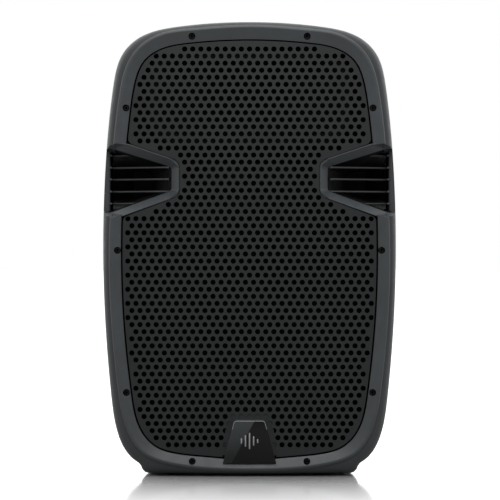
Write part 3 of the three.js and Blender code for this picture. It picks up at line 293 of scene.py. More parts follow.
def monotone_curve(rows):
    """A monotone cubic through (place, value) rows, flat beyond its ends."""
    place = np.array([row[0] for row in rows], float)
    value = np.array([row[1] for row in rows], float)
    step = np.diff(place)
    slope = np.diff(value) / step
    tangent = np.zeros(len(place))
    for i in range(1, len(place) - 1):
        if slope[i - 1] * slope[i] > 0:
            w1, w2 = 2 * step[i] + step[i - 1], step[i] + 2 * step[i - 1]
            tangent[i] = (w1 + w2) / (w1 / slope[i - 1] + w2 / slope[i])
    tangent[0], tangent[-1] = slope[0], slope[-1]

    def at(where):
        if where <= place[0]:
            return float(value[0])
        if where >= place[-1]:
            return float(value[-1])
        i = int(np.searchsorted(place, where) - 1)
        k = (where - place[i]) / step[i]
        return float(
            (2 * k**3 - 3 * k * k + 1) * value[i]
            + (k**3 - 2 * k * k + k) * step[i] * tangent[i]
            + (-2 * k**3 + 3 * k * k) * value[i + 1]
            + (k**3 - k * k) * step[i] * tangent[i + 1]
        )

    return at


def resample(half, count):
    """The chain of points with even spacing along its length."""
    length = np.r_[0, np.cumsum(np.linalg.norm(np.diff(half, axis=0), axis=1))]
    at = np.linspace(0, length[-1], count)
    return np.column_stack([np.interp(at, length, half[:, 0]), np.interp(at, length, half[:, 1])])


def soften(loop, times):
    for _ in range(times):
        loop = 0.5 * loop + 0.25 * (np.roll(loop, 1, 0) + np.roll(loop, -1, 0))
    return loop


def rounded_rect(cx, cz, half_wide, half_high, radius, n=6):
    """A clockwise rectangle; each corner is n + 1 points."""
    loop = []
    for sx, sz, start in ((1, 1, 90), (1, -1, 0), (-1, -1, -90), (-1, 1, -180)):
        for i in range(n + 1):
            angle = math.radians(start - 90 * i / n)
            x = cx + sx * (half_wide - radius) + radius * math.cos(angle)
            z = cz + sz * (half_high - radius) + radius * math.sin(angle)
            loop.append((x, z))
    return np.array(loop)


def fillet(points, radii, n=6):
    """The closed polygon with its corners rounded; each corner becomes n + 1 points."""
    loop = []
    count = len(points)
    for i in range(count):
        corner = Vector(points[i])
        back = Vector(points[(i - 1) % count]) - corner
        on = Vector(points[(i + 1) % count]) - corner
        back_length, on_length = back.length, on.length
        back.normalize()
        on.normalize()
        half = back.angle(on) / 2
        radius = radii[i] if hasattr(radii, "__len__") else radii
        if radius <= 0:
            loop.append(tuple(corner))
            continue
        cut = min(radius / math.tan(half), 0.49 * back_length, 0.49 * on_length)
        fitted = cut * math.tan(half)
        centre = corner + (back + on).normalized() * (fitted / math.sin(half))
        start, end = corner + back * cut - centre, corner + on * cut - centre
        sweep = start.angle(end)
        for k in range(n + 1):
            t = k / n
            arm = start * math.sin((1 - t) * sweep) + end * math.sin(t * sweep)
            loop.append(tuple(centre + arm / math.sin(sweep)))
    return np.array(loop)


def hexagon(radius, cx=0.0, cz=0.0):
    angles = [math.radians(60 * i) for i in range(6)]
    return [(cx + radius * math.sin(t), cz + radius * math.cos(t)) for t in angles]


def smooth_profile(points, steps):
    """A smooth open chain through the points, with so many steps between each two."""
    p = [Vector(q) for q in points]
    chain = []
    for i in range(len(p) - 1):
        a, b, c, d = p[max(i - 1, 0)], p[i], p[i + 1], p[min(i + 2, len(p) - 1)]
        for k in range(steps):
            t = k / steps
            bend = (2 * a - 5 * b + 4 * c - d) * t * t + (3 * b - a - 3 * c + d) * t**3
            chain.append(tuple(0.5 * (2 * b + (c - a) * t + bend)))
    chain.append(tuple(p[-1]))
    return chain


def thickened(line, thickness):
    """A closed profile: the line, and the line again that much further back."""
    return line + [(r, y + thickness) for r, y in line[::-1]]


# ------------------------------------------------------------------ meshes
def link(ob):
    bpy.context.collection.objects.link(ob)
    return ob


def build(name, verts, faces, material):
    """A mesh object from points in mm, its normals facing out."""
    mesh = bpy.data.meshes.new(name)
    points = (np.asarray(verts, float) * MM).tolist()
    mesh.from_pydata(points, [], [tuple(int(i) for i in f) for f in faces])
    mesh.update()
    bm = bmesh.new()
    bm.from_mesh(mesh)
    bmesh.ops.recalc_face_normals(bm, faces=bm.faces)
    bm.to_mesh(mesh)
    bm.free()
    mesh.materials.append(material)
    return link(bpy.data.objects.new(name, mesh))


def skin(name, rows, material, closed=False):
    """A skin through rows of 3D points of the same count; closed joins the last to the first."""
    n, count = len(rows[0]), len(rows)
    verts = [point for row in rows for point in row]
    faces = []
    for k in range(count if closed else count - 1):
        a, b = k * n, (k + 1) % count * n
        for i in range(n):
            j = (i + 1) % n
            faces.append((a + i, a + j, b + j, b + i))
    if not closed:
        faces.append(tuple(range(n)))
        faces.append(tuple(range(count * n - 1, (count - 1) * n - 1, -1)))
    return build(name, verts, faces, material)


def loft(name, sections, material, closed=False):
    """A skin through (y, x-z loop) sections."""
    rows = [[(p[0], y, p[1]) for p in loop] for y, loop in sections]
    return skin(name, rows, material, closed)


def prism(name, loop, y0, y1, material, edge=0.0, steps=3):
    """A block along Y from an x-z loop, the edges of both ends rounded by edge."""
    if edge == 0:
        return loft(name, [(y0, loop), (y1, loop)], material)
    front, back = [], []
    for i in range(steps + 1):
        angle = math.pi / 2 * i / steps
        rise, draw = edge * (1 - math.cos(angle)), edge * (1 - math.sin(angle))
        front.append((y0 + rise, inset(loop, draw)))
        back.append((y1 - rise, inset(loop, draw)))
    return loft(name, front + back[::-1], material)


def upright(name, loop, z0, z1, material):
    """A block along Z from an x-y loop."""
    return skin(name, [[(x, y, z) for x, y in loop] for z in (z0, z1)], material)


def lathe(name, profile, n, material, centre=(0, 0), axis="Y"):
    """A closed profile of (radius, place along the axis) turned about an axis along Y or Z.

    The centre is x, z for an axis along Y, and x, y for one along Z.
    """
    verts, faces, rings = [], [], []
    for radius, along in profile:
        if radius < 1e-6:
            rings.append([len(verts)])
            verts.append((0, 0, along))
            continue
        rings.append(list(range(len(verts), len(verts) + n)))
        for i in range(n):
            t = 2 * math.pi * i / n
            verts.append((radius * math.cos(t), radius * math.sin(t), along))
    for k, a in enumerate(rings):
        b = rings[(k + 1) % len(rings)]
        if len(a) == 1 and len(b) == 1:
            continue
        for i in range(n):
            j = (i + 1) % n
            if len(a) == 1:
                faces.append((a[0], b[i], b[j]))
            elif len(b) == 1:
                faces.append((a[i], a[j], b[0]))
            else:
                faces.append((a[i], a[j], b[j], b[i]))
    cu, cv = centre
    if axis == "Y":
        points = [(cu + u, along, cv + v) for u, v, along in verts]
    else:
        points = [(cu + u, cv + v, along) for u, v, along in verts]
    return build(name, points, faces, material)


def cylinder(radius, start, end, n, material, centre=(0, 0), axis="Y"):
    profile = [(0, start), (radius, start), (radius, end), (0, end)]
    return lathe("cylinder", profile, n, material, centre, axis)


def convex(name, points, material):
    """The convex hull of the points."""
    bm = bmesh.new()
    corners = [bm.verts.new(Vector(p) * MM) for p in points]
    hull = bmesh.ops.convex_hull(bm, input=corners)
    inside = [g for g in hull["geom_interior"] if isinstance(g, bmesh.types.BMVert)]
    bmesh.ops.delete(bm, geom=inside, context="VERTS")
    loose = [v for v in bm.verts if not v.link_faces]
    bmesh.ops.delete(bm, geom=loose, context="VERTS")
    bmesh.ops.recalc_face_normals(bm, faces=bm.faces)
    mesh = bpy.data.meshes.new(name)
    bm.to_mesh(mesh)
    bm.free()
    mesh.materials.append(material)
    return link(bpy.data.objects.new(name, mesh))


def apply_modifiers(ob):
    bpy.context.view_layer.update()
    graph = bpy.context.evaluated_depsgraph_get()
    mesh = bpy.data.meshes.new_from_object(
        ob.evaluated_get(graph), preserve_all_data_layers=True, depsgraph=graph
    )
    ob.modifiers.clear()
    old, name = ob.data, ob.data.name
    ob.data = mesh
    bpy.data.meshes.remove(old)
    mesh.name = name


def boolean(ob, cutters, operation="DIFFERENCE"):
    """Applies the cutters in turn and removes them; cut faces take the cutter's material."""
    for cutter in cutters:
        modifier = ob.modifiers.new("b", "BOOLEAN")
        modifier.operation = operation
        modifier.solver = "EXACT"
        modifier.object = cutter
        modifier.material_mode = "TRANSFER"
    apply_modifiers(ob)
    for cutter in cutters:
        mesh = cutter.data
        bpy.data.objects.remove(cutter)
        bpy.data.meshes.remove(mesh)


def finish_mesh(ob, angle, merge=0.004, weighted=False):
    """Joins points closer than merge, then smooth shading with hard edges over the angle."""
    bm = bmesh.new()
    bm.from_mesh(ob.data)
    if merge:
        bmesh.ops.remove_doubles(bm, verts=bm.verts, dist=merge * MM)
        bmesh.ops.dissolve_degenerate(bm, dist=merge * MM, edges=bm.edges)
    bm.to_mesh(ob.data)
    bm.free()
    ob.data.shade_smooth()
    ob.data.set_sharp_from_angle(angle=math.radians(angle))
    if weighted:
        modifier = ob.modifiers.new("normals", "WEIGHTED_NORMAL")
        modifier.keep_sharp = True
        modifier.weight = 50


def merge_objects(name, objects):
    """One object from several, keeping each one's materials."""
    bm = bmesh.new()
    materials = []
    for ob in objects:
        start = len(bm.faces)
        bm.from_mesh(ob.data)
        bm.faces.ensure_lookup_table()
        slots = []
        for material in ob.data.materials:
            if material not in materials:
                materials.append(material)
            slots.append(materials.index(material))
        for face in list(bm.faces)[start:]:
            face.material_index = slots[min(face.material_index, len(slots) - 1)]
    mesh = bpy.data.meshes.new(name)
    bm.to_mesh(mesh)
    bm.free()
    for material in materials:
        mesh.materials.append(material)
    for ob in objects:
        old = ob.data
        bpy.data.objects.remove(ob)
        if old.users == 0:
            bpy.data.meshes.remove(old)
    return link(bpy.data.objects.new(name, mesh))


def keep_mesh(ob):
    """Removes the object and returns its mesh, for sharing."""
    mesh = ob.data
    bpy.data.objects.remove(ob)
    return mesh


def attach(ob, body, node=None):
    """Tells the frame which body the piece rides, and the CAD node it replaces."""
    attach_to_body(ob, body)
    if node:
        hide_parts(node)


def attach_copy(name, mesh, place, body, node):
    """An object that shares the mesh, at a place in mm."""
    ob = link(bpy.data.objects.new(name, mesh))
    ob.location = tuple(v * MM for v in place)
    attach(ob, body, node)
    return ob


# ------------------------------------------------------------------ shader nodes
def add_node(tree, kind, inputs, **settings):
    """A node with its settings made, then its inputs linked or set."""
    made = tree.nodes.new(kind)
    for key, value in settings.items():
        setattr(made, key, value)
    for key, value in inputs.items():
        if isinstance(value, bpy.types.NodeSocket):
            tree.links.new(value, made.inputs[key])
        else:
            made.inputs[key].default_value = value
    return made


class Surface:
    """A material under construction, patterned in object coordinates."""

    def __init__(self, name):
        self.material = bpy.data.materials.new(name)
        self.material.use_nodes = True
        self.tree = self.material.node_tree
        self.tree.nodes.clear()
        self.coords = self.add("ShaderNodeTexCoord", {}).outputs["Object"]

    def add(self, kind, inputs, **settings):
        return add_node(self.tree, kind, inputs, **settings)

    def stretched(self, scale):
        return self.add("ShaderNodeMapping", {"Vector": self.coords, "Scale": scale}).outputs[0]

    def noise(self, scale, detail=3.0, roughness=0.6, vector=None):
        inputs = {
            "Vector": vector or self.coords,
            "Scale": scale,
            "Detail": detail,
            "Roughness": roughness,
        }
        return self.add("ShaderNodeTexNoise", inputs).outputs["Fac"]

    def remap(self, value, span, to):
        """The value's span mapped to another, clamped."""
        inputs = {0: value, 1: span[0], 2: span[1], 3: to[0], 4: to[1]}
        return self.add("ShaderNodeMapRange", inputs).outputs[0]

    def math(self, operation, a, b):
        inputs = {0: a, 1: b, 2: 0.0}
        return self.add("ShaderNodeMath", inputs, operation=operation).outputs[0]

    def mix(self, factor, a, b, mode="MIX"):
        inputs = {0: factor, 6: a, 7: b}
        made = self.add("ShaderNodeMix", inputs, data_type="RGBA", blend_type=mode)
        return made.outputs[2]

    def shaded(self, colour, value, span, to):
        """The colour multiplied by a remapped value."""
        return self.mix(1.0, colour, self.remap(value, span, to), "MULTIPLY")

    def finish(self, colour, roughness, height, strength, distance, **others):
        """Joins the channels to the output; strength and distance are the bump's."""
        bump = {"Strength": strength, "Distance": distance, "Height": height}
        inputs = {
            "Base Color": colour,
            "Roughness": roughness,
            "Normal": self.add("ShaderNodeBump", bump).outputs[0],
        }
        for key, value in others.items():
            inputs[key.replace("_", " ")] = value
        shader = self.add("ShaderNodeBsdfPrincipled", inputs)
        self.add("ShaderNodeOutputMaterial", {0: shader.outputs[0]})
        return self.material


def around(middle, spread):
    return (middle - spread, middle + spread)


def scaled(colour, factor):
    return tuple(c * factor for c in colour[:3]) + (1.0,)


def grey(value):
    return (value, value, value, 1)


# ------------------------------------------------------------------ kinds of material
def textured_plastic(name, colour, roughness, grain=0.35, specular=0.5, scuff=0.0):
    """Moulded plastic with a fine leather-like grain, faint flow marks and optional scuffs."""
    s = Surface(name)
    fine = s.noise(scale=1500, detail=2.0)
    cells = s.add("ShaderNodeTexVoronoi", {"Vector": s.coords, "Scale": 1150}).outputs["Distance"]
    broad = s.noise(scale=14)
    patch = s.noise(scale=90, detail=4.0)
    flow = s.math("ADD", s.math("MULTIPLY", broad, 0.6), s.math("MULTIPLY", patch, 0.4))
    tone = s.shaded(colour, flow, span=(0.35, 0.65), to=around(1, 0.14))
    tone = s.shaded(tone, fine, span=(0.25, 0.75), to=around(1, 0.14))
    wear = s.math("ADD", patch, s.math("MULTIPLY", fine, 0.5))
    rough = s.remap(wear, span=(0.5, 1.0), to=(roughness - 0.07, roughness + 0.09))
    if scuff > 0:
        streaks = s.noise(60, detail=5.0, roughness=0.65, vector=s.stretched((0.35, 1.0, 2.6)))
        marks = s.remap(streaks, span=(0.66, 0.74), to=(0.0, scuff))
        tone = s.mix(marks, tone, scaled(colour, 2.4))
        rough = s.math("ADD", rough, s.math("MULTIPLY", marks, 0.25))
    height = s.math("ADD", s.math("MULTIPLY", cells, 0.7), s.math("MULTIPLY", fine, 0.6))
    return s.finish(
        tone, rough, height, strength=grain, distance=0.00018, Specular_IOR_Level=specular
    )


def smooth_plastic(name, colour, roughness):
    """Smooth plastic with slightly uneven gloss."""
    s = Surface(name)
    broad = s.noise(scale=35)
    fine = s.noise(scale=700)
    tone = s.shaded(colour, broad, span=(0.3, 0.7), to=around(1, 0.1))
    prints = s.noise(120, detail=4.0, roughness=0.7, vector=s.stretched((1.0, 1.0, 0.6)))
    rough = s.remap(prints, span=(0.35, 0.7), to=(roughness - 0.05, roughness + 0.1))
    return s.finish(tone, rough, fine, strength=0.06, distance=0.0002)


def powder_coat(name, colour, roughness=0.45, chips=0.0, specular=0.5):
    """Powder-coated metal: an orange-peel surface, with worn spots if chips is over 0."""
    s = Surface(name)
    peel = s.noise(scale=850, detail=2.0, roughness=0.5)
    broad = s.noise(scale=12)
    tone = s.shaded(colour, broad, span=(0.3, 0.7), to=around(1, 0.12))
    tone = s.shaded(tone, peel, span=(0.3, 0.7), to=around(1, 0.07))
    gloss = s.noise(scale=220)
    rough = s.remap(gloss, span=(0.3, 0.7), to=(roughness - 0.06, roughness + 0.08))
    if chips > 0:
        spots = s.noise(scale=420, detail=4.0, roughness=0.7)
        worn = s.remap(spots, span=(0.72, 0.76), to=(0.0, chips))
        tone = s.mix(worn, tone, (0.25, 0.25, 0.26, 1.0))
    return s.finish(
        tone, rough, peel, strength=0.25, distance=0.00012, Specular_IOR_Level=specular
    )


def metal(name, colour, roughness, brushed=None):
    """Bare or plated metal with tarnished spots; brushed stretches its pattern."""
    s = Surface(name)
    vector = s.stretched(brushed) if brushed else s.coords
    lines = s.noise(scale=260, detail=4.0, roughness=0.65, vector=vector)
    spots = s.noise(scale=75, detail=4.0)
    tone = s.shaded(colour, lines, span=(0.3, 0.7), to=around(1, 0.1))
    tarnish = s.remap(spots, span=(0.5, 0.8), to=(0.0, 0.25))
    tone = s.mix(tarnish, tone, scaled(colour, 0.35))
    wear = s.math("ADD", s.math("MULTIPLY", lines, 0.6), s.math("MULTIPLY", spots, 0.4))
    rough = s.remap(wear, span=(0.3, 0.7), to=(roughness - 0.08, roughness + 0.14))
    return s.finish(tone, rough, lines, strength=0.08, distance=0.0001, Metallic=1.0)


def cloth(name, colour):
    """Woven, doped cloth."""
    s = Surface(name)
    threads = []
    for direction in "XZ":
        inputs = {"Scale": 350, "Distortion": 0.8, "Vector": s.coords}
        settings = {"wave_type": "BANDS", "bands_direction": direction}
        threads.append(s.add("ShaderNodeTexWave", inputs, **settings).outputs["Fac"])
    weave = s.math("MULTIPLY", *threads)
    broad = s.noise(scale=40)
    tone = s.shaded(colour, broad, span=(0.3, 0.7), to=around(1, 0.15))
    tone = s.shaded(tone, weave, span=(0.0, 1.0), to=(0.8, 1.15))
    rough = s.remap(broad, span=(0.3, 0.7), to=(0.82, 0.96))
    return s.finish(
        tone, rough, weave, strength=0.5, distance=0.0002,
        Sheen_Weight=0.01, Specular_IOR_Level=0.06,
    )


def badge_gloss_painted_highlight():
    """Glossy black lacquer with a painted highlight: a lighter diagonal band across its upper left
    corner.
    """
    s = Surface("gloss_black_painted_highlight")
    x, _, z = s.add("ShaderNodeSeparateXYZ", {0: s.coords}).outputs
    rise = s.math("MULTIPLY", s.math("SUBTRACT", z, 0.058), 0.55)
    across = s.math("SUBTRACT", rise, s.math("ADD", x, 0.006))
    # painted highlight: a lighter colour above the diagonal, fading towards the bottom
    painted_highlight = s.remap(across, span=(-0.0008, 0.0008), to=(0.0, 1.0))
    fade = s.remap(z, span=(0.03, 0.082), to=(0.25, 1.0))
    lacquer, highlight_colour = (0.0035, 0.0037, 0.0038, 1), (0.040, 0.045, 0.047, 1)
    tone = s.mix(s.math("MULTIPLY", painted_highlight, fade), lacquer, highlight_colour)
    swirl = s.noise(scale=900, vector=s.stretched((1.0, 1.0, 3.0)))
    rough = s.remap(swirl, span=(0.35, 0.7), to=(0.09, 0.16))
    return s.finish(tone, rough, swirl, strength=0.02, distance=0.0001, Specular_IOR_Level=0.2)


# ------------------------------------------------------------------ the materials
M_SHELL = textured_plastic(
    "slate_shell", (0.0200, 0.0240, 0.0258, 1), roughness=0.50, grain=0.4, scuff=0.05
)
M_BEZEL = textured_plastic(
    "slate_bezel", (0.0325, 0.0375, 0.0410, 1), roughness=0.44, grain=0.28, scuff=0.03
)
M_LOUVRE = textured_plastic("slate_louvre", (0.026, 0.028, 0.030, 1), roughness=0.42, grain=0.25)
# near-black moulding for the hand pockets, the post and hidden pieces: partly the plastic's own black,
# partly painted shade for the pockets' dark depth
M_BLACK = textured_plastic(
    "black_moulding_painted_shade", (0.0022, 0.0023, 0.0026, 1), roughness=0.7, grain=0.4, specular=0.12
)
# near-black with almost no specular, for cut holes, recesses, port tubes, the liner and the cabinet's
# inside: painted shade for the darkness within them
M_PAINTED_SHADE = textured_plastic(
    "black_inside_painted_shade", (0.0012, 0.0012, 0.0014, 1), roughness=0.85, grain=0.2, specular=0.02
)
M_GRILLE = powder_coat(
    "grille_coat", (0.0082, 0.0098, 0.0104, 1), roughness=0.5, chips=0.06, specular=0.35
)
# the badge's glossy black, with its painted highlight
M_GLOSS = badge_gloss_painted_highlight()
# pale grey for the line along the badge's top edge: a painted highlight where light catches the bevel
M_PAINTED_EDGE_HIGHLIGHT = smooth_plastic("badge_painted_edge_highlight", (0.16, 0.17, 0.17, 1), roughness=0.3)
M_MARK = smooth_plastic("badge_mark", (0.22, 0.225, 0.22, 1), roughness=0.45)
M_RUBBER = textured_plastic("foot_rubber", grey(0.010), roughness=0.8, grain=0.6, specular=0.3)
# screws: black zinc made near-black, partly the plating's own colour, partly painted shade so the heads
# read as dark holes
M_SCREW = metal("black_zinc_painted_shade", (0.018, 0.018, 0.019, 1), roughness=0.45)
M_GASKET = textured_plastic("gasket_foam", grey(0.01), roughness=0.95, grain=0.7, specular=0.1)
M_NYLON = textured_plastic("nylon", (0.008, 0.008, 0.009, 1), roughness=0.55)
# the basket and the surround: near-black, partly their own black paint and cloth, partly painted shade
# for the dark behind the grille
M_BASKET = powder_coat("basket_paint", grey(0.003), roughness=0.8, specular=0.04)
M_SURROUND = cloth("surround_cloth", (0.0025, 0.0022, 0.002, 1))
M_CONE = textured_plastic(
    "cone_paper", (0.0025, 0.0025, 0.0027, 1), roughness=0.9, grain=0.6, specular=0.05
)
M_SPIDER = cloth("spider_cloth", (0.35, 0.2, 0.08, 1))
M_COPPER = metal("coil_copper", (0.8, 0.36, 0.18, 1), roughness=0.35)
M_FERRITE = textured_plastic("ferrite", (0.03, 0.03, 0.032, 1), roughness=0.8)
M_STEEL = metal("zinc_steel", grey(0.5), roughness=0.4)
M_HORN = textured_plastic(
    "horn_plastic", (0.0022, 0.0022, 0.0024, 1), roughness=0.6, specular=0.12
)
M_DRIVER = powder_coat("driver_paint", (0.02, 0.02, 0.021, 1))
M_DIAPHRAGM = metal("diaphragm", grey(0.7), roughness=0.3)
M_PANEL = powder_coat("panel_paint", (0.012, 0.0125, 0.013, 1), roughness=0.5, chips=0.2)
M_SINK = metal("anodised", (0.045, 0.045, 0.047, 1), roughness=0.45, brushed=(1, 1, 0.05))
M_BOARD = smooth_plastic("solder_mask", (0.01, 0.07, 0.03, 1), roughness=0.35)
M_TAPE = smooth_plastic("amber_tape", (0.35, 0.25, 0.06, 1), roughness=0.3)
M_JACK = smooth_plastic("jack_plastic", (0.006, 0.006, 0.0065, 1), roughness=0.3)
M_NICKEL = metal("nickel", (0.62, 0.61, 0.58, 1), roughness=0.28)
M_KNOB = textured_plastic("knob_plastic", (0.01, 0.0105, 0.011, 1), roughness=0.45, grain=0.15)
M_BUTTON = smooth_plastic("button_plastic", (0.45, 0.45, 0.43, 1), roughness=0.4)
M_SWITCH = smooth_plastic("switch_plastic", grey(0.005), roughness=0.22)
M_PRINT = smooth_plastic("panel_print", (0.42, 0.42, 0.41, 1), roughness=0.5)

SLOT_MATERIALS = {
    "pocket_plastic": M_BLACK,
    "foot_rubber": M_RUBBER,
    "gasket_foam": M_GASKET,
    "screw_zinc": M_SCREW,
    "socket_plastic": M_NYLON,
    "basket_paint": M_BASKET,
    "surround_cloth": M_SURROUND,
    "cone_paper": M_CONE,
    "spider_cloth": M_SPIDER,
    "coil_copper": M_COPPER,
    "magnet_ferrite": M_FERRITE,
    "plate_steel": M_STEEL,
    "horn_plastic": M_HORN,
    "driver_paint": M_DRIVER,
    "diaphragm_metal": M_DIAPHRAGM,
    "panel_paint": M_PANEL,
    "sink_aluminium": M_SINK,
    "board_green": M_BOARD,
    "transformer_wrap": M_TAPE,
    "jack_plastic": M_JACK,
    "jack_metal": M_NICKEL,
    "knob_plastic": M_KNOB,
    "button_plastic": M_BUTTON,
    "switch_plastic": M_SWITCH,
}

# ------------------------------------------------------------------ side windows
mouth_loop = fillet(MOUTH, MOUTH_RADII, 5)
border_loop = fillet(BORDER, BORDER_RADII, 5)
# the raised border's own loop ends short of the baffle's side
ridge_loop = fillet([(189, 492.0)] + BORDER[1:-1] + [(189, 385.0)], BORDER_RADII, 5)


def flip(side, loop):
    return [(side * x, z) for x, z in loop]


def window_cutter(side):
    """The window's chamfered mouth, carried on forwards past the cabinet."""
    crest = inset(border_loop, -0.8)
    beyond = (CREST_Y + 186) / (WINDOW_Y - CREST_Y)
    sections = [
        (-186, crest + (crest - mouth_loop) * beyond),
        (CREST_Y, crest),
        (WINDOW_Y - 0.8, mouth_loop + (crest - mouth_loop) * 0.045),
        (WINDOW_Y, mouth_loop),
    ]
    return loft("window", [(y, flip(side, loop)) for y, loop in sections], M_BEZEL)


def ridge(side):
    """The raised border round the window, its outer edge rounded over."""
    edge = 0.8
    rows = [(BAFFLE_Y + 2, flip(side, inset(ridge_loop, 0.1)))]
    for i in range(5):
        angle = math.radians(90 * i / 4)
        loop = inset(ridge_loop, 0.1 - edge * (1 - math.cos(angle)))
        rows.append((CREST_Y + edge * (1 - math.sin(angle)), flip(side, loop)))
    return loft("ridge", rows[:0:-1] + rows[:1], M_BEZEL)


def pocket(side, grow, material):
    """The space behind the window, tapering inwards, its walls moved out by grow."""
    y, high, low = POCKET_SIDE
    high, low = high + grow, low - grow
    mouth = inset(mouth_loop[::-1], -grow)
    end = inset(fillet(POCKET_END[::-1], 6.0, 5), -grow)
    points = [(side * x, WINDOW_Y - 0.5, z) for x, z in mouth]
    corners = ((243.5 + grow, high), (243.5 + grow, low), (200, low), (200, high))
    points += [(side * x, y + grow * 1.3, z) for x, z in corners]
    points += [(side * x, POCKET_Y + grow, z) for x, z in end]
    return convex("pocket", points, material)


def side_chamfer(side):
    """The chamfer where the window runs out through the cabinet's side."""
    points = []
    for x, flare in ((200, 0), (226, 10)):
        stations = ((WINDOW_Y, 484.5, 389, 0), (-119, 476, 398, 0), (SIDE_END, 464, 409, flare))
        for y, high, low, grow in stations:
            points += [(side * x, y + grow, high + grow), (side * x, y + grow, low - grow)]
    return convex("side", points, M_SHELL)


def window_cutters():
    # the pockets' walls take the near-black moulding: painted shade inside them
    return [window_cutter(1), window_cutter(-1), pocket(1, 0, M_BLACK), pocket(-1, 0, M_BLACK)]


# ------------------------------------------------------------------ front baffle
THROUGH = (-170, -130)  # y span of cutters that pass through the baffle board
seam, bevel, recess, grille_line = whole(SEAM), whole(BEVEL), whole(RECESS), whole(GRILLE)


def baffle_sections():
    """From the baffle's back, over the seam and round the bezel's edge, in to the bevel."""
    steps = [(32, 4.4), (0.6, 4.4), (0.02, 4.2), (0, 0.75), (-0.12, 0.3), (-0.5, 0.03)]
    sections = [(SEAM_Y + y, inset(seam, draw)) for y, draw in steps]
    sections[0] = (BAFFLE_Y + BAFFLE_T, sections[0][1])
    for degrees in range(16, 113, 12):
        angle = math.radians(degrees)
        loop = inset(seam, BEZEL_EDGE_R * (1 - math.cos(angle)))
        sections.append((SEAM_Y - BEZEL_EDGE_R * math.sin(angle), loop))
    y, loop = sections[-1]
    for k in (0.3, 0.65, 1.0):
        sections.append((y + (BEVEL_Y - y) * k, loop + (bevel - loop) * k))
    return sections


def port_loop(side, wall=0.0):
    return rounded_rect(side * PORT_X, PORT_Z, 40 + wall, 20 + wall, 12 + wall, 6)


def make_baffle():
    baffle = loft("baffle_moulding", baffle_sections(), M_BEZEL)
    # the recess behind the grille: its floor takes the painted-shade black, so the holes look dark
    recess_rows = [
        (-177.5, -1.5), (-174.4, -0.9), (-173.9, -0.35), (-173.2, 0), (BAFFLE_Y - 0.6, 0),
        (BAFFLE_Y, 0.6),
    ]
    boolean(baffle, [loft("recess", [(y, inset(recess, d)) for y, d in recess_rows], M_PAINTED_SHADE)])
    boolean(baffle, [ridge(1), ridge(-1)], "UNION")
    woofer_hole = [(0, -170), (173.5, -170), (174.5, -151), (174.5, -130), (0, -130)]
    cutters = [
        lathe("cutter", woofer_hole, 96, M_PAINTED_SHADE, (0, WOOFER_Z)),
        prism("cutter", rounded_rect(0, HORN_Z, 144, 64, 34, 8), *THROUGH, M_PAINTED_SHADE),
    ]
    for side in (1, -1):
        cutters.append(prism("cutter", port_loop(side), *THROUGH, M_PAINTED_SHADE))
    boolean(baffle, cutters)
    cutters = []
    counterbore = [(0, -195), (5.15, -195), (5.15, -170.6), (4.6, -170), (0, -170)]
    for x, z in SCREWS:
        for side in (1, -1):
            cutters.append(lathe("cutter", counterbore, 28, M_BEZEL, (side * x, z)))
            cutters.append(cylinder(2.6, -171, -130, 16, M_PAINTED_SHADE, (side * x, z)))
    boolean(baffle, cutters)
    boolean(baffle, window_cutters())
    finish_mesh(baffle, 30, weighted=True)
    attach(baffle, "cabinet", "front_baffle")


def make_ducts():
    """The two port tubes behind the baffle."""
    for name, side in SIDES:
        duct = prism("duct", port_loop(side, 2.6), BAFFLE_Y + BAFFLE_T, -46, M_PAINTED_SHADE)
        boolean(duct, [prism("bore", port_loop(side), -170, -40, M_PAINTED_SHADE)])
        finish_mesh(duct, 40)
        duct.name = "port_duct_" + name
        attach(duct, "cabinet")


# ------------------------------------------------------------------ rear shell
# Against depth: how far the outline has grown from SEAM to GIRTH, and its width and top factors.
girth_blend = monotone_curve(
    [(SEAM_Y, 0), (-173.5, 0.4), (-169, 0.68), (-160, 0.9), (GIRTH_Y, 1), (-120, 1)]
)
narrowing = monotone_curve([(GIRTH_Y - 20, 1), (GIRTH_Y, 1), (-60, 0.966), (60, 0.916), (REAR, 0.85)])
top_fall = monotone_curve([(GIRTH_Y - 20, 1), (GIRTH_Y, 1), (-60, 0.994), (60, 0.972), (REAR, 0.945)])


def shell_loop(y, shrink=0.0):
    """The shell's outline at depth y, its facets blended in; shrink draws its edges in."""
    half = SEAM + (GIRTH - SEAM) * girth_blend(y)
    half[:, 0] *= narrowing(y)
    up = half[:, 1] > MIDDLE
    half[up, 1] = MIDDLE + (half[up, 1] - MIDDLE) * top_fall(y)
    if y > FACET_Y - 60:
        limit = REAR_HALF + (REAR - y) * FACET_SLOPE
        half = resample(half, 500)
        k = np.clip(0.5 + 0.5 * (limit - half[:, 0]) / FACET_SOFT, 0, 1)
        x = limit * (1 - k) + half[:, 0] * k - FACET_SOFT * k * (1 - k)
        half[:, 0] = np.maximum(x, 0)
    loop = whole(resample(half, HALF_POINTS))
    # the corners soften towards the back, at the same height overall
    weight = min(max((y + 30) / 60, 0), 1)
    if weight > 0:
        weight = weight * weight * (3 - 2 * weight)
        top, low = loop[:, 1].max(), loop[:, 1].min()
        loop = loop + (soften(loop, 9) - loop) * weight
        z = loop[:, 1]
        loop[:, 1] = low + (z - z.min()) * (top - low) / (z.max() - z.min())
    if shrink:
        wide, high, low = np.abs(loop[:, 0]).max(), loop[:, 1].max(), loop[:, 1].min()
        loop[:, 0] *= (wide - shrink) / wide
        up = loop[:, 1] > MIDDLE
        rise, drop = loop[up, 1] - MIDDLE, MIDDLE - loop[~up, 1]
        loop[up, 1] = MIDDLE + rise * (high - MIDDLE - shrink) / (high - MIDDLE)
        loop[~up, 1] = MIDDLE - drop * (MIDDLE - low - shrink) / (MIDDLE - low)
    return loop


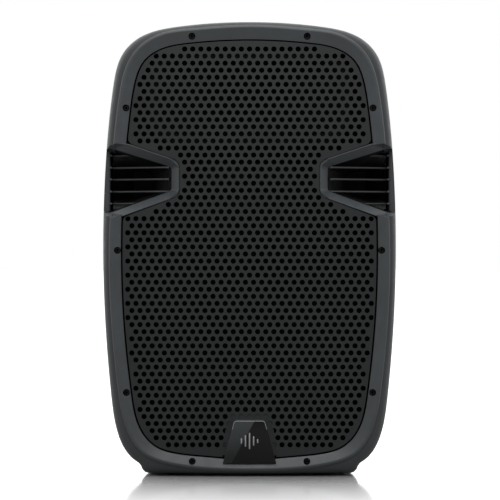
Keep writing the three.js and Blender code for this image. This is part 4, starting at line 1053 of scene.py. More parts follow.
def shell_skin():
    """The solid outside of the shell, from the seam to its rounded back."""
    lip = [(-175.62, 0.95), (-175.45, 0.45), (-175.1, 0.14)]  # y, inset
    depths = [
        -174.6, -173.6, -172.4, -171, -169, -166.5, -163.5, -160, -156, -151.5, -146.5,
        -142, -136, -128, -118, -106, -92, -76, -62, -48, -38, *range(-30, 166, 6),
    ]
    rows = [(y, inset(shell_loop(y), draw)) for y, draw in lip]
    rows += [(y, shell_loop(y)) for y in depths]
    for k in range(9):
        angle = math.radians(90 * k / 8)
        y = REAR - REAR_ROUND + REAR_ROUND * math.sin(angle)
        rows.append((y, shell_loop(y, REAR_ROUND * (1 - math.cos(angle)))))
    return loft("shell_moulding", rows, M_SHELL)


def shell_cavity():
    front = inset(whole(resample(SEAM, HALF_POINTS)), WALL)[::3]
    rows = [(-184, front), (-143, front)]
    depths = [-131, -100, -60, -30, -12, 0, 12, 24, 36, 60, 90, 130, 160]
    for y, extra in [(y, 0) for y in depths] + [(170, 3), (REAR - WALL, 9)]:
        rows.append((y, shell_loop(y, WALL + extra)[::3]))
    return loft("cavity", rows, M_PAINTED_SHADE)


def tray_cutters():
    """The tray that holds the amplifier panel, with a flared mouth, and the opening behind it."""
    tray = rounded_rect(0, TRAY_MID, TRAY_HALF, TRAY_HALF_HIGH, 6, 6)
    flare = [
        (186, -2.2), (180.2, -1.9), (179.6, -1.2), (178.9, -0.6), (178.0, -0.15), (177.0, 0),
        (TRAY_Y + 0.01, 0),
    ]
    opening = rounded_rect(0, TRAY_MID, TRAY_HALF - 11, TRAY_HALF_HIGH - 12, 4, 4)
    return [
        loft("cutter", [(y, inset(tray, draw)) for y, draw in flare], M_SHELL),
        prism("cutter", opening, 140, 170, M_SHELL),
    ]


def make_shell():
    """Makes the shell and returns a mesh of its uncut outer skin."""
    shell = shell_skin()
    uncut = shell.data.copy()
    boolean(shell, [shell_cavity()])
    block_loop = rounded_rect(0, TRAY_MID, TRAY_HALF + 4, TRAY_HALF_HIGH + 4, 10, 6)
    tray_block = prism("tray", block_loop, TRAY_Y - 4, 177.5, M_SHELL)
    socket_block = cylinder(30, 3, 6.2, 48, M_SHELL, axis="Z")
    boolean(shell, [tray_block, socket_block], "UNION")
    boolean(shell, tray_cutters() + [cylinder(22.2, -5, 12, 48, M_SHELL, axis="Z")])
    wide, narrow = FOOT_R + 1.6, FOOT_R + 0.9
    foot_well = [(0, -5), (wide, -5), (wide, 1.9), (narrow, 2.6), (narrow, 5.2), (0, 5.2)]
    boolean(shell, [lathe("cutter", foot_well, 40, M_SHELL, at, "Z") for at in FEET.values()])
    boolean(shell, window_cutters() + [side_chamfer(1), side_chamfer(-1)])
    finish_mesh(shell, 28, weighted=True)
    attach(shell, "cabinet", "rear_shell")
    return uncut


# ------------------------------------------------------------------ louvres
def slat(side, z):
    """A slat swept back towards the grip, with rounded front and rear edges."""
    radius = 1.2
    rows = []
    stations = (  # x, front y, rear y
        (116.2, -167.25, -150.1), (150, -156.4, -140.3), (180, -146.9, -131.7),
        (207, -138.3, -124.1),
    )
    for x, y0, y1 in stations:
        row = []
        for centre_y, start in ((y0 + radius, 270), (y1 - radius, 90)):
            for k in range(7):
                angle = math.radians(start - 30 * k)
                y = centre_y + radius * math.cos(angle)
                row.append((side * x, y, z + SLAT_T / 2 * math.sin(angle)))
        rows.append(row)
    return skin("slat", rows, M_LOUVRE)


def make_louvre(name, side, uncut):
    """The slats of one window, with the bar at the cabinet's corner that they run to."""

    def trimmed(part, material, skin_width=None):
        """The part kept inside the pocket and, given a width factor, inside the skin."""
        limits = [pocket(side, -GAP, material)]
        if skin_width:
            outer = link(bpy.data.objects.new("outer", uncut.copy()))
            if skin_width != 1:
                outer.data.transform(Matrix.Diagonal((skin_width, 1, 1, 1)))
            limits.append(outer)
        boolean(part, limits, "INTERSECT")
        return part

    def bar(label, corners, radii, n, material, skin_width):
        loop = fillet([(side * x, y) for x, y in corners], radii, n)
        return trimmed(upright(label, loop, 372, 500, material), material, skin_width)

    grip = [(206.4, -149.5), (232, -149.5), (232, -121), (209.6, -121)]
    # the liner, in the painted-shade black, darkens the grip's inner face
    liner = [(207.0, -147.0), (216, -147.0), (216, -121.6), (204.8, -121.6)]
    parts = [
        bar("grip", grip, [5.0, 2, 2, 3.0], 6, M_LOUVRE, 1),
        bar("liner", liner, [0.8, 1, 1, 1.2], 4, M_PAINTED_SHADE, 0.988),
    ]
    # the slats' ends, lapped over the grip's rounded front edge
    for z in SLAT_Z:
        loop = rounded_rect(side * 207.3, z, 2.1, SLAT_T / 2, 0.9, 3)
        end = prism("end", loop, -149.9, -140, M_LOUVRE, 0.4, 2)
        parts.append(trimmed(end, M_LOUVRE))
    for z in SLAT_Z:
        parts.append(trimmed(slat(side, z), M_LOUVRE))
    # the post at the slats' inner ends, in the near-black moulding, partly painted shade
    loop = rounded_rect(side * 117.9, 440.6, 1.6, 40, 1.0, 3)
    parts.append(trimmed(prism("post", loop, -166.6, -151, M_BLACK), M_BLACK))
    louvre = merge_objects("louvre_insert_" + name, parts)
    finish_mesh(louvre, 40)
    attach(louvre, "cabinet", "louvre_" + name)


# ------------------------------------------------------------------ grille
HOLE_PITCH, HOLE_ROW = 12.0, 10.45008  # across a row, and from row to row
TOP_ROW_Z = 632.1708
HOLE_R, HOLE_N = 3.95, 18
SHEET_FRONT, SHEET_BACK = -175.5, -174.0
# the surround the badge sits in
PLATE = fillet(
    [(-25.8, 84.6), (-22.4, 87.6), (22.4, 87.6), (25.8, 84.6), (41.2, 28.8), (-41.2, 28.8)],
    [3, 3, 3, 3, 0.8, 0.8],
    4,
)


def depth_inside(points, loop):
    """How far inside the loop each point lies; negative outside."""
    best = np.full(len(points), 1e9)
    crossings = np.zeros(len(points), int)
    x, z = points[:, 0], points[:, 1]
    for (ax, az), (bx, bz) in zip(loop, np.roll(loop, -1, 0)):
        dx, dz = bx - ax, bz - az
        t = np.clip(((x - ax) * dx + (z - az) * dz) / max(dx * dx + dz * dz, 1e-12), 0, 1)
        best = np.minimum(best, np.hypot(x - ax - t * dx, z - az - t * dz))
        crossings += ((az > z) != (bz > z)) & (x < (bx - ax) * (z - az) / (bz - az + 1e-15) + ax)
    return np.where(crossings % 2 == 1, best, -best)


def hole_centres():
    """Staggered rows of holes, clear of the grille's edge and of the badge."""
    centres = []
    for k in range(57):
        shift = 0.0 if k % 2 == 0 else HOLE_PITCH / 2
        for i in range(-20, 21):
            centres.append((i * HOLE_PITCH + shift, TOP_ROW_Z - HOLE_ROW * k))
    centres = np.array(centres)
    x, z = np.abs(centres[:, 0]), centres[:, 1]
    # more edge is left solid beside the windows
    beside = (z > 383) & (z < 494) & (x < 176)
    blank = np.zeros(len(centres), bool)
    for blank_x, row in ((108.0, 0), (144.0, 14)):
        blank |= (np.abs(x - blank_x) < 1) & (np.abs(z - (TOP_ROW_Z - HOLE_ROW * row)) < 1)
    room = depth_inside(centres, grille_line)
    centres = centres[(room > np.where(beside, 5.35, 4.4)) & ~blank]
    return centres[depth_inside(centres, PLATE) < 1.2]


def perforated_faces(centres):
    """The sheet in the x-z plane: its points, and its faces without those in the holes."""
    points, edges = [], []

    def add_ring(ring):
        start, n = len(points), len(ring)
        points.extend(ring)
        edges.extend([(start + i, start + (i + 1) % n) for i in range(n)])

    add_ring([tuple(p) for p in inset(grille_line, 0.5)])
    angles = [2 * math.pi * (i + 0.5) / HOLE_N for i in range(HOLE_N)]
    circle = [(HOLE_R * math.cos(t), HOLE_R * math.sin(t)) for t in angles]
    for cx, cz in centres:
        add_ring([(cx + x, cz + z) for x, z in circle])
    whole_faces = 4  # output type: the drawn edges, with more added so that faces are valid
    result = delaunay_2d_cdt([Vector(p) for p in points], edges, [], whole_faces, 1e-7)
    flat, faces = np.array([tuple(v) for v in result[0]]), result[2]
    nearest = KDTree(len(centres))
    for i, (x, z) in enumerate(centres):
        nearest.insert((x, z, 0), i)
    nearest.balance()
    kept = []
    for face in faces:
        x, z = flat[list(face)].mean(axis=0)
        if nearest.find((x, z, 0))[2] > HOLE_R * 0.97:
            kept.append(face)
    return flat, kept


def grille_face():
    """The perforated sheet with its thickness."""
    flat, kept = perforated_faces(hole_centres())
    n = len(flat)
    verts = [(x, y, z) for y in (SHEET_FRONT, SHEET_BACK) for x, z in flat]
    faces = [tuple(f) for f in kept] + [tuple(i + n for i in reversed(f)) for f in kept]
    uses = {}
    for face in kept:
        for i, a in enumerate(face):
            b = face[(i + 1) % len(face)]
            uses.setdefault((min(a, b), max(a, b)), []).append((a, b))
    # walls on the edges that only one face uses
    for directed in uses.values():
        if len(directed) == 1:
            a, b = directed[0]
            faces.append((b, a, a + n, b + n))
    sheet = build("sheet", verts, faces, M_GRILLE)
    finish_mesh(sheet, 40, merge=0)
    return sheet


def make_grille():
    sheet = grille_face()
    rim_rows = [  # y, inset
        (-174.0, 0.5), (-175.5, 0.5), (-175.4, 0.3), (-175.2, 0.12), (-174.9, 0.0),
        (-164.3, 0.0), (-164, 0.3), (-164, 1.5), (-173.6, 1.5),
    ]
    rim_sections = [(y, inset(grille_line, draw)) for y, draw in rim_rows]
    rim = loft("rim", rim_sections, M_GRILLE, closed=True)
    finish_mesh(rim, 40)
    # the plate behind the holes above the badge
    backing_loop = fillet([(-30, 95.2), (30, 95.2), (44, 29), (-44, 29)], 1.5, 3)
    backing = prism("backing", backing_loop, -173.9, -172.4, M_GRILLE, 0.3, 2)
    surround = prism("surround", PLATE, -177.0, -174.3, M_GRILLE, 0.5)
    boolean(surround, [prism("cutter", inset(PLATE, 1.1), -178, -175.4, M_PAINTED_SHADE)])
    inner = prism("inner", inset(PLATE, 2.5), -176.9, -174.6, M_GRILLE, 0.3, 2)
    surround = merge_objects("surround", [surround, inner])
    finish_mesh(surround, 35)
    finish_mesh(backing, 35)
    grille = merge_objects("grille_sheet", [sheet, rim, backing, surround])
    attach(grille, "cabinet", "grille")


# ------------------------------------------------------------------ badge
def make_badge():
    """A glossy plate with a pale line round its top, a painted highlight on its rounded edge, and five
    upright bars.
    """
    corners = [(-22.7, 83.0), (22.7, 83.0), (39.6, 19.6), (-39.6, 19.6)]
    loop = fillet(corners, [5.0, 5.0, 1.2, 1.2], 6)
    plate_rows = [  # y, inset
        (-180.0, 1.0), (-179.93, 0.62), (-179.7, 0.3), (-179.3, 0.08), (-178.8, 0), (-177.4, 0),
    ]
    highlight_rows = [(-180.02, 1.15), (-180.02, 0.72), (-179.72, 0.25), (-179.6, 1.15)]
    plate = loft("badge_plate", [(y, inset(loop, d)) for y, d in plate_rows], M_GLOSS)
    highlight_sections = [(y, inset(loop, d)) for y, d in highlight_rows]
    line = loft("badge_painted_highlight_line", highlight_sections, M_PAINTED_EDGE_HIGHLIGHT, closed=True)
    # only the top of the line is kept, as a painted highlight lit from above
    highlight_part = [(-32, 70), (-32, 90), (32, 90), (32, 70)]
    boolean(line, [prism("cutter", highlight_part, -182, -178, M_PAINTED_EDGE_HIGHLIGHT)], "INTERSECT")
    parts = [plate, line]
    for x, half_high in ((-12, 4), (-6, 8.5), (0, 12), (6, 7), (12, 3)):
        bar = rounded_rect(x, 53, 1.0, half_high, 0.9, 3)
        parts.append(prism("bar", bar, -180.15, -179.8, M_MARK, 0.1, 1))
    badge = merge_objects("badge_plate", parts)
    finish_mesh(badge, 50)
    attach(badge, "cabinet", "badge")


# ------------------------------------------------------------------ screws and feet
def make_baffle_screws():
    profile = [
        (0, 0.9), (2.2, 0.9), (2.3, 0.1), (3.4, 0.0), (4.2, 0.35), (4.6, 1.0), (4.6, 2.8),
        (2.1, 2.9), (2.1, 38), (0, 40),
    ]
    # the heads take the near-black screw finish, partly painted shade in their counterbores
    screw = lathe("baffle_screw", profile, 28, M_SCREW)
    boolean(screw, [prism("cutter", hexagon(2.0), -1, 1.9, M_PAINTED_SHADE)])
    finish_mesh(screw, 35)
    mesh = keep_mesh(screw)
    for i, (x, z) in enumerate(SCREWS):
        for side, sign in SIDES:
            tag = f"{side}_{i + 1}"
            place = (sign * x, -173.3, z)
            node = "baffle_screw_" + tag
            ob = attach_copy("hex_screw_" + tag, mesh, place, "cabinet", node)
            # each is turned to its own angle
            ob.rotation_euler = (0, 0.3 * i + (0.5 if sign > 0 else 0), 0)


def make_feet():
    profile = [
        (0, 0.35), (4.0, 0.35), (4.6, 0.0), (FOOT_R - 2.6, 0), (FOOT_R - 1.4, 0.3),
        (FOOT_R - 0.5, 1.0), (FOOT_R - 0.1, 2.0), (FOOT_R, 3.0), (FOOT_R, 4.9), (0, 4.9),
    ]
    foot = lathe("foot", profile, 48, M_RUBBER, axis="Z")
    finish_mesh(foot, 40)
    mesh = keep_mesh(foot)
    for name, (x, y) in FEET.items():
        place = (x, y, 0)
        attach_copy("rubber_foot_" + name, mesh, place, "cabinet", "foot_" + name)


# ------------------------------------------------------------------ woofer
def turned(name, profile, slot, n=72, cz=WOOFER_Z):
    """A piece turned about a driver's axis."""
    ob = lathe(name, profile, n, SLOT_MATERIALS[slot], (0, cz))
    finish_mesh(ob, 35)
    return ob


def turned_piece(name, profile, node, slot, body="cabinet", **shape):
    ob = turned(name, profile, slot, **shape)
    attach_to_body(ob, body)
    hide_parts(node)


def flexing_piece(name, profile, node, slot):
    """A ring of the suspension; the real one moves with the cone out to its inner radius and is still
    from the outer on, but this one is a single fixed piece attached to no body.
    """
    ob = turned(name, profile, slot)
    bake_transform(ob)
    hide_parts(node)


def rib(radius):
    """The height of the pressed rings, one every 12 mm."""
    if not 84 < radius < 140:
        return 0.0
    return 0.5 * max(0.0, math.cos((radius - 96) * math.pi / 6)) ** 6


def make_cone():
    line = smooth_profile([(39.6, -99), (60, -113.5), (90, -130), (120, -142.6), (150, -150.7)], 8)
    front = [(r, y - rib(r)) for r, y in line]
    back = [(r, y + 1.15) for r, y in line[::-1]]
    turned_piece("woofer_cone_paper", front + back, "woofer_cone", "cone_paper", "cone")
    line = smooth_profile([(0, -124), (20, -122.6), (37, -118), (52, -109.4)], 6)
    profile = line + [(max(r - 0.9, 0), y + 1.1) for r, y in line[::-1]]
    turned_piece("woofer_dust_cap_dome", profile, "woofer_dust_cap", "cone_paper", "cone")


def make_suspension():
    """The half-rolls of the surround, and the rippled spider."""
    roll = [
        (143, -152.1), (150.4, -153.2), (152.5, -156.4), (154.4, -157.4), (156.4, -156.2),
        (158, -154.6), (159.8, -156.2), (162.5, -159.0), (167, -160.1), (171.5, -159.9),
        (177, -159.4),
    ]
    profile = thickened(smooth_profile(roll, 5), 0.85)
    flexing_piece(
        "woofer_surround_roll", profile, "woofer_surround", "surround_cloth"
    )
    ripple = [(39.8, -75.4)]
    for i in range(29):
        t = i / 28
        ripple.append((42 + 44 * t, -75.2 + 3.6 * t + 1.5 * math.cos(t * 4 * math.pi)))
    ripple.append((92, -70.4))
    profile = thickened(ripple, 0.55)
    flexing_piece(
        "woofer_spider_cloth", profile, "woofer_spider", "spider_cloth"
    )


def make_motor():
    coil = [(37.6, -102), (38.3, -102), (38.3, -66)]
    for i in range(24):
        coil += [(38.75, -65.8 + 0.7 * i), (38.35, -65.45 + 0.7 * i)]
    coil += [(38.3, -48), (37.6, -48)]
    turned_piece("woofer_coil_winding", coil, "woofer_voice_coil", "coil_copper", "cone", n=64)
    top_plate = [
        (39.9, -62.6), (40.3, -63), (85, -63), (86, -62), (86, -55.6), (85.4, -55), (39.9, -55),
    ]
    turned_piece("woofer_top_plate_ring", top_plate, "woofer_top_plate", "plate_steel")
    magnet = [
        (46, -54.65), (87, -54.65), (89, -53.6), (90, -51.6), (90, -37.7), (89, -35.7),
        (87, -34.65), (46, -34.65),
    ]
    turned_piece("woofer_magnet_ring", magnet, "woofer_magnet", "magnet_ferrite")
    yoke = [
        (12, -25), (12, -59), (13, -60), (35.6, -60), (36.4, -59.2), (36.4, -34.3), (83, -34.3),
        (84, -33.3), (84, -29), (82, -28), (60, -24.4), (58, -24), (13, -24),
    ]
    turned_piece("woofer_yoke_plate", yoke, "woofer_yoke", "plate_steel")


def make_basket():
    """The basket, with six open windows between its spokes."""
    back = BAFFLE_Y - GAP
    profile = [
        (WOOFER_R - 1.5, -158), (WOOFER_R - 0.4, -157.6), (WOOFER_R, -156.5), (WOOFER_R, back),
        (172.5, back), (171.6, -146), (170, -140), (135, -103), (100, -66), (98, -64),
        (96, -63.4), (60, -63.4), (60, -66.4), (97, -69.4), (132, -106), (166, -142),
        (165, -152.5), (166, -156.6), (167, -158),
    ]
    basket = turned("woofer_basket_frame", profile, "basket_paint")
    # radius and angle from the middle of an opening
    wedge = ((106, 0.36), (161, 0.4), (161, 0.13), (161, -0.13), (161, -0.4), (106, -0.36))
    cutters = []
    for i in range(6):
        t = i * math.pi / 3 + math.pi / 6
        loop = [(r * math.cos(t + w), WOOFER_Z + r * math.sin(t + w)) for r, w in wedge]
        cutters.append(prism("cutter", fillet(loop, 6, 4), -150, -60, M_BASKET))
    boolean(basket, cutters)
    finish_mesh(basket, 35)
    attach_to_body(basket, "cabinet")
    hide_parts("woofer_basket")


def make_basket_screws():
    circle_r = 179.6
    profile = [(0, -161.6), (2.2, -161.6), (3.6, -161.0), (4.2, -159.8), (4.2, -158.1), (0, -158.1)]
    bolts = []
    for i in range(8):
        t = (i + 0.5) * math.pi / 4
        centre = (circle_r * math.cos(t), WOOFER_Z + circle_r * math.sin(t))
        bolt = lathe("bolt", profile, 20, M_SCREW, centre)
        boolean(bolt, [prism("cutter", hexagon(1.6, *centre), -164, -160.3, M_PAINTED_SHADE)])
        bolts.append(bolt)
    bolts = merge_objects("woofer_frame_screws", bolts)
    finish_mesh(bolts, 35)
    attach(bolts, "cabinet")


# ------------------------------------------------------------------ horn and its driver
# y, half width, half height, and the power of the superellipse
HORN_ROWS = [
    (-157.2, 138, 58, 6), (-156.6, 136.6, 57.3, 5.9), (-152, 132, 55, 5.5), (-145, 125, 52, 5),
    (-132.5, 109.5, 46, 4.5), (-120, 95, 40, 4), (-105, 78, 34.3, 3.5), (-90, 62, 29, 3),
    (-75, 48, 24.6, 2.7), (-60, 36, 21, 2.5), (-49, 27.5, 18.3, 2.2), (-38, 20, 16, 2),
    (-30, 15.6, 14, 2), (-22, 12.5, 12.5, 2),
]
HORN_WALL = 3.4


def oval(half_wide, half_high, power, n=96):
    loop = []
    for i in range(n):
        t = -2 * math.pi * i / n
        c, s = math.cos(t), math.sin(t)
        x = half_wide * math.copysign(abs(c) ** (2 / power), c)
        loop.append((x, HORN_Z + half_high * math.copysign(abs(s) ** (2 / power), s)))
    return np.array(loop)


def make_horn():
    inside = [(y, oval(a, b, p)) for y, a, b, p in HORN_ROWS]
    outside = [(y, oval(a + HORN_WALL, b + HORN_WALL, p)) for y, a, b, p in HORN_ROWS[::-1]]
    flare = loft("horn_flare", inside + outside, M_HORN, closed=True)
    flange_loop = rounded_rect(0, HORN_Z, 150, 70, 40, 10)
    flange = prism("flange", flange_loop, -157.4, BAFFLE_Y - GAP, M_HORN, 0.8)
    boolean(flange, [prism("cutter", oval(138.6, 58.6, 6), -160, -140, M_HORN)])
    neck_profile = [(12.5, -28), (30, -28), (30, -22), (12.5, -22)]
    neck = lathe("neck", neck_profile, 64, M_HORN, (0, HORN_Z))
    horn = merge_objects("horn_moulding", [flare, flange, neck])
    finish_mesh(horn, 35)
    attach(horn, "cabinet", "horn")


def make_compression_driver():
    case = [
        (0, 4), (34, 4), (34, -8), (12.6, -8), (12.6, -21.65), (29, -21.65), (30, -20.8),
        (30, -14), (55, -14), (57, -13.2), (58, -11.5), (58, 0), (57.2, 0.6), (57.2, 2.4),
        (58, 3), (58, 27), (57, 29.2), (55, 30), (42, 30), (41, 31), (40.4, 36.8), (39, 38),
        (0, 38),
    ]
    node = "compression_driver"
    turned_piece("compression_driver_case", case, node, "driver_paint", cz=HORN_Z)
    # the phase plug: a core and three rings on a disc
    profiles = [[(0, -19.4), (2.2, -19.0), (2.9, -16), (2.9, -9), (0, -9)]]
    for r0, r1 in ((4.2, 6.4), (7.6, 9.6), (10.8, 12.4)):
        tip = [(r0, -16), (r0 + 0.5, -17.6), (r1 - 0.3, -17.6), (r1, -16)]
        profiles.append(tip + [(r1, -9), (r0, -9)])
    profiles.append([(0, -9), (12.4, -9), (12.4, -7.6), (0, -7.6)])
    parts = [lathe("plug", profile, 40, M_BLACK, (0, HORN_Z)) for profile in profiles]
    plug = merge_objects("phase_plug", parts)
    finish_mesh(plug, 35)
    attach(plug, "cabinet")
    line = smooth_profile([(0, -1), (12, -1.6), (24, -4.6), (28, -5.2), (31.5, -4.6)], 5)
    turned_piece(
        "tweeter_diaphragm_dome", thickened(line, 0.5), "tweeter_diaphragm", "diaphragm_metal",
        "diaphragm", cz=HORN_Z,
    )


# ------------------------------------------------------------------ amplifier panel
JACK_Z, KNOB_Z, BUTTON_Z, SINK_Z = 300, 258, 230, 414
JACKS = [("combo_jack_a", -48), ("combo_jack_b", 0), ("link_jack", 48)]  # name, x
KNOBS = [  # name, x, body
    ("knob_level_a", -60, "level_a"),
    ("knob_level_b", -30, "level_b"),
    ("knob_bass", 0, "bass"),
    ("knob_treble", 30, "treble"),
    ("knob_main", 60, "main_level"),
]
BUTTONS = [("pad_button_a", -60, "pad_a"), ("pad_button_b", -30, "pad_b")]
ROCKER, INLET = (52, 190), (-35, 190)
PIN_ANGLES = [math.radians(t) for t in (90, 210, 330)]


def cross_cutters(cx, cz, reach, half, radius, y0, y1):
    """Two crossed slots."""
    sizes = ((reach, half), (half, reach))
    loops = [rounded_rect(cx, cz, a, b, radius, 1) for a, b in sizes]
    return [prism("cutter", loop, y0, y1, M_PAINTED_SHADE) for loop in loops]


def make_panel():
    inset_loop = rounded_rect(0, TRAY_MID, TRAY_HALF - 0.6, TRAY_HALF_HIGH - 0.6, 5.6, 6)
    panel = prism("amp_panel_plate", inset_loop, TRAY_Y + GAP, FACE, M_PANEL, 0.5)
    cutters = [cylinder(12, 150, 170, 40, M_PANEL, (x, JACK_Z)) for _, x in JACKS]
    cutters += [cylinder(3.7, 150, 170, 24, M_PANEL, (x, KNOB_Z)) for _, x, _ in KNOBS]
    cutters += [cylinder(3.7, 150, 170, 24, M_PANEL, (x, BUTTON_Z)) for _, x, _ in BUTTONS]
    for place, half_wide, half_high in ((ROCKER, 12.4, 10.4), (INLET, 23.4, 18.4)):
        loop = rounded_rect(*place, half_wide, half_high, 0.8, 2)
        cutters.append(prism("cutter", loop, 150, 170, M_PANEL))
    boolean(panel, cutters)
    # shallow pressed channels that group the controls: centre height, half width, half height
    for cz, a, b in ((271, 79, 55), (190, 79, 24.5), (SINK_Z, 79, 68)):

        def groove(y0, draw0, y1, draw1):
            sections = [
                (FACE + y, rounded_rect(0, cz, a + grow, b + grow, 6 + grow, 5))
                for y, grow in ((y0, draw0), (y1, draw1))
            ]
            return loft("groove", sections, M_PANEL)

        channel = groove(-0.55, 0, 0.4, 0.3)
        boolean(channel, [groove(-0.9, -1.1, 0.9, -1.4)])
        boolean(panel, [channel])
    finish_mesh(panel, 35)
    attach(panel, "cabinet", "amp_panel")


def plate_mark(cx, cz, half_wide, half_high, turn=0.0):
    """A printed dash, turned about its centre."""
    radius = min(0.25, half_wide * 0.9, half_high * 0.9)
    c, s = math.cos(turn), math.sin(turn)
    flat = rounded_rect(0, 0, half_wide, half_high, radius, 2)
    loop = [(cx + x * c - z * s, cz + x * s + z * c) for x, z in flat]
    return prism("mark", loop, FACE + 0.01, FACE + 0.12, M_PRINT)


def make_markings():
    """A scale of dashes round each knob, and a dash under each button and jack."""
    scale_r = 11.4
    marks = []
    for _, x, _ in KNOBS:
        for i in range(11):
            t = math.radians(-150 + 30 * i)
            half_long = 1.6 if i in (0, 5, 10) else 1.0
            mark_x, mark_z = x + scale_r * math.sin(t), KNOB_Z + scale_r * math.cos(t)
            marks.append(plate_mark(mark_x, mark_z, 0.28, half_long, -t))
    for _, x, _ in BUTTONS:
        marks.append(plate_mark(x, BUTTON_Z - 7.4, 3.4, 0.35))
    for _, x in JACKS:
        marks.append(plate_mark(x, JACK_Z - 19.6, 8, 0.35))
    marks = merge_objects("panel_scales", marks)
    finish_mesh(marks, 40)
    attach(marks, "cabinet")


def make_leds():
    profile = [
        (0, 1.5), (0.9, 1.3), (1.45, 0.8), (1.6, 0.05), (2.3, 0.02), (2.3, -0.4), (0, -0.4),
    ]
    profile = [(r, FACE + y) for r, y in profile]
    colours = {48: (0.02, 0.5, 0.08, 1), 58: (0.6, 0.03, 0.02, 1), 68: (0.7, 0.45, 0.05, 1)}
    leds = []
    for x, colour in colours.items():
        material = smooth_plastic(f"led_{x}", colour, roughness=0.15)
        leds.append(lathe("led", profile, 24, material, (x, 232)))
    leds = merge_objects("panel_leds", leds)
    finish_mesh(leds, 35)
    attach(leds, "cabinet")


def fin(cx, tip_y, half, radius):
    """An upright fin standing out along Y, its tip rounded."""
    root_y = FACE + 3.4
    loop = [(cx - half, root_y)]
    for k in range(5):
        t = math.radians(180 - 180 * k / 4)
        loop.append((cx + half * math.cos(t), tip_y - radius + radius * math.sin(t)))
    loop.append((cx + half, root_y))
    return upright("fin", loop, 352.4, 475.6, M_SINK)


def make_heat_sink():
    """A base with thirteen fins, and two low ribs between each two."""
    pitch = 12
    base_loop = rounded_rect(0, SINK_Z, 73.2, 62, 1.2, 3)
    parts = [prism("base", base_loop, FACE + GAP, FACE + 4, M_SINK, 0.4, 2)]
    for i in range(13):
        parts.append(fin(-72.0 + i * pitch, 178, 1.15, 1.0))
    for i in range(12):
        for shift in (-1.6, 1.6):
            parts.append(fin(-66.0 + i * pitch + shift, FACE + 5.2, 0.5, 0.4))
    sink = merge_objects("heat_sink_extrusion", parts)
    finish_mesh(sink, 40)
    attach(sink, "cabinet", "heat_sink")


# ------------------------------------------------------------------ jacks
def small_screw(centre, lift):
    """A domed screw head whose underside is this far off the panel."""
    profile = [(0, 1.1), (1.4, 1.0), (2.3 if lift < 2 else 2.4, 0.4), (2.3 if lift < 2 else 2.4, 0)]
    profile.append((0, 0))
    return lathe("screw", [(r, FACE + lift + y) for r, y in profile], 20, M_SCREW, centre)


def jack_insert(x, z):
    """The plastic core of a combination jack, with a round hole and three small ones."""
    profile = [(0, 149), (8.6, 149), (8.6, 161.6), (8.2, 162), (0, 162)]
    insert = lathe("insert", profile, 48, M_JACK, (x, z))
    hole = [(0, 140), (3.3, 140), (3.3, 161.2), (3.9, 162.2), (3.9, 165), (0, 165)]
    cutters = [lathe("cutter", hole, 32, M_PAINTED_SHADE, (x, z))]
    hole = [(0, 153), (1.15, 153), (1.15, 161.5), (1.5, 162.2), (1.5, 165), (0, 165)]
    for t in PIN_ANGLES:
        centre = (x + 6.1 * math.cos(t), z + 6.1 * math.sin(t))
        cutters.append(lathe("cutter", hole, 20, M_PAINTED_SHADE, centre))
    boolean(insert, cutters)
    return insert


def make_jack(name, x, z, male):
    material = M_NICKEL if male else M_JACK
    flange_loop = rounded_rect(x, z, 13, 15.5, 3, 5)
    flange = prism("flange", flange_loop, FACE + GAP, FACE + 2.1, material, 0.6)
    boolean(flange, [cylinder(11.4, 141, FACE + 1, 48, material, (x, z))], "UNION")
    bore = [
        (0, 150), (9.6, 150), (9.6, FACE + 1.3), (10.6, FACE + 2.4), (10.6, 175), (0, 175),
    ]
    boolean(flange, [lathe("cutter", bore, 48, M_JACK, (x, z))])
    parts = [flange]
    for sx, sz in ((-1, 1), (1, -1)):
        centre = (x + sx * 9.9, z + sz * 12.4)
        head = small_screw(centre, 1.9)
        boolean(head, cross_cutters(*centre, 1.2, 0.28, 0.1, FACE + 2.4, FACE + 4))
        parts.append(head)
    if male:
        pin = [(0, 149), (1.2, 149), (1.2, 159), (0.9, 159.8), (0, 160.1)]
        for t in PIN_ANGLES:
            centre = (x + 4.2 * math.cos(t), z + 4.2 * math.sin(t))
            parts.append(lathe("pin", pin, 16, M_NICKEL, centre))
    else:
        parts.append(jack_insert(x, z))
        latch = rounded_rect(x, z + 12.6, 3.4, 1.5, 0.6, 3)
        parts.append(prism("latch", latch, FACE + 2.0, FACE + 3.3, M_NICKEL, 0.4))
    jack = merge_objects(name + "_unit", parts)
    finish_mesh(jack, 35)
    attach(jack, "cabinet", name)


# ------------------------------------------------------------------ knobs and buttons
def knob_mesh():
    """A skirt, a body with 18 flutes and a pointer line."""
    n = 96
    profile = [  # radius, y, flute depth
        (3, 150.6, 0), (3, 162.4, 0), (8.3, 162.4, 0), (8.6, 162.7, 0), (8.6, 164.2, 0),
        (8.3, 164.7, 0), (7.3, 165.1, 0.15), (6.95, 166, 0.4), (6.75, 170, 0.4),
        (6.55, 174.6, 0.4), (6.2, 175.5, 0.2), (5.4, 176, 0), (4.6, 176, 0), (4.2, 175.7, 0),
    ]
    rows = []
    for radius, y, flute in profile:
        row = []
        for i in range(n):
            t = 2 * math.pi * i / n
            r = radius - flute * (0.5 + 0.5 * math.cos(18 * t)) ** 3
            row.append((r * math.sin(t), y, r * math.cos(t)))
        rows.append(row)
    body = skin("knob", rows, M_KNOB)
    top_line = prism("pointer", rounded_rect(0, 3.6, 0.45, 2.9, 0.3, 2), 175.4, 176.25, M_PRINT, 0.1, 1)
    corners = ((165.6, 6.3), (165.6, 7.05), (175.2, 6.65), (175.2, 5.9))
    side_line = skin("side", [[(x, y, z) for y, z in corners] for x in (-0.45, 0.45)], M_PRINT)
    knob = merge_objects("knob_shape", [body, top_line, side_line])
    finish_mesh(knob, 35)
    return keep_mesh(knob)


def make_knobs():
    mesh = knob_mesh()
    for name, x, body in KNOBS:
        attach_copy(name + "_cap", mesh, (x, 0, KNOB_Z), body, name)


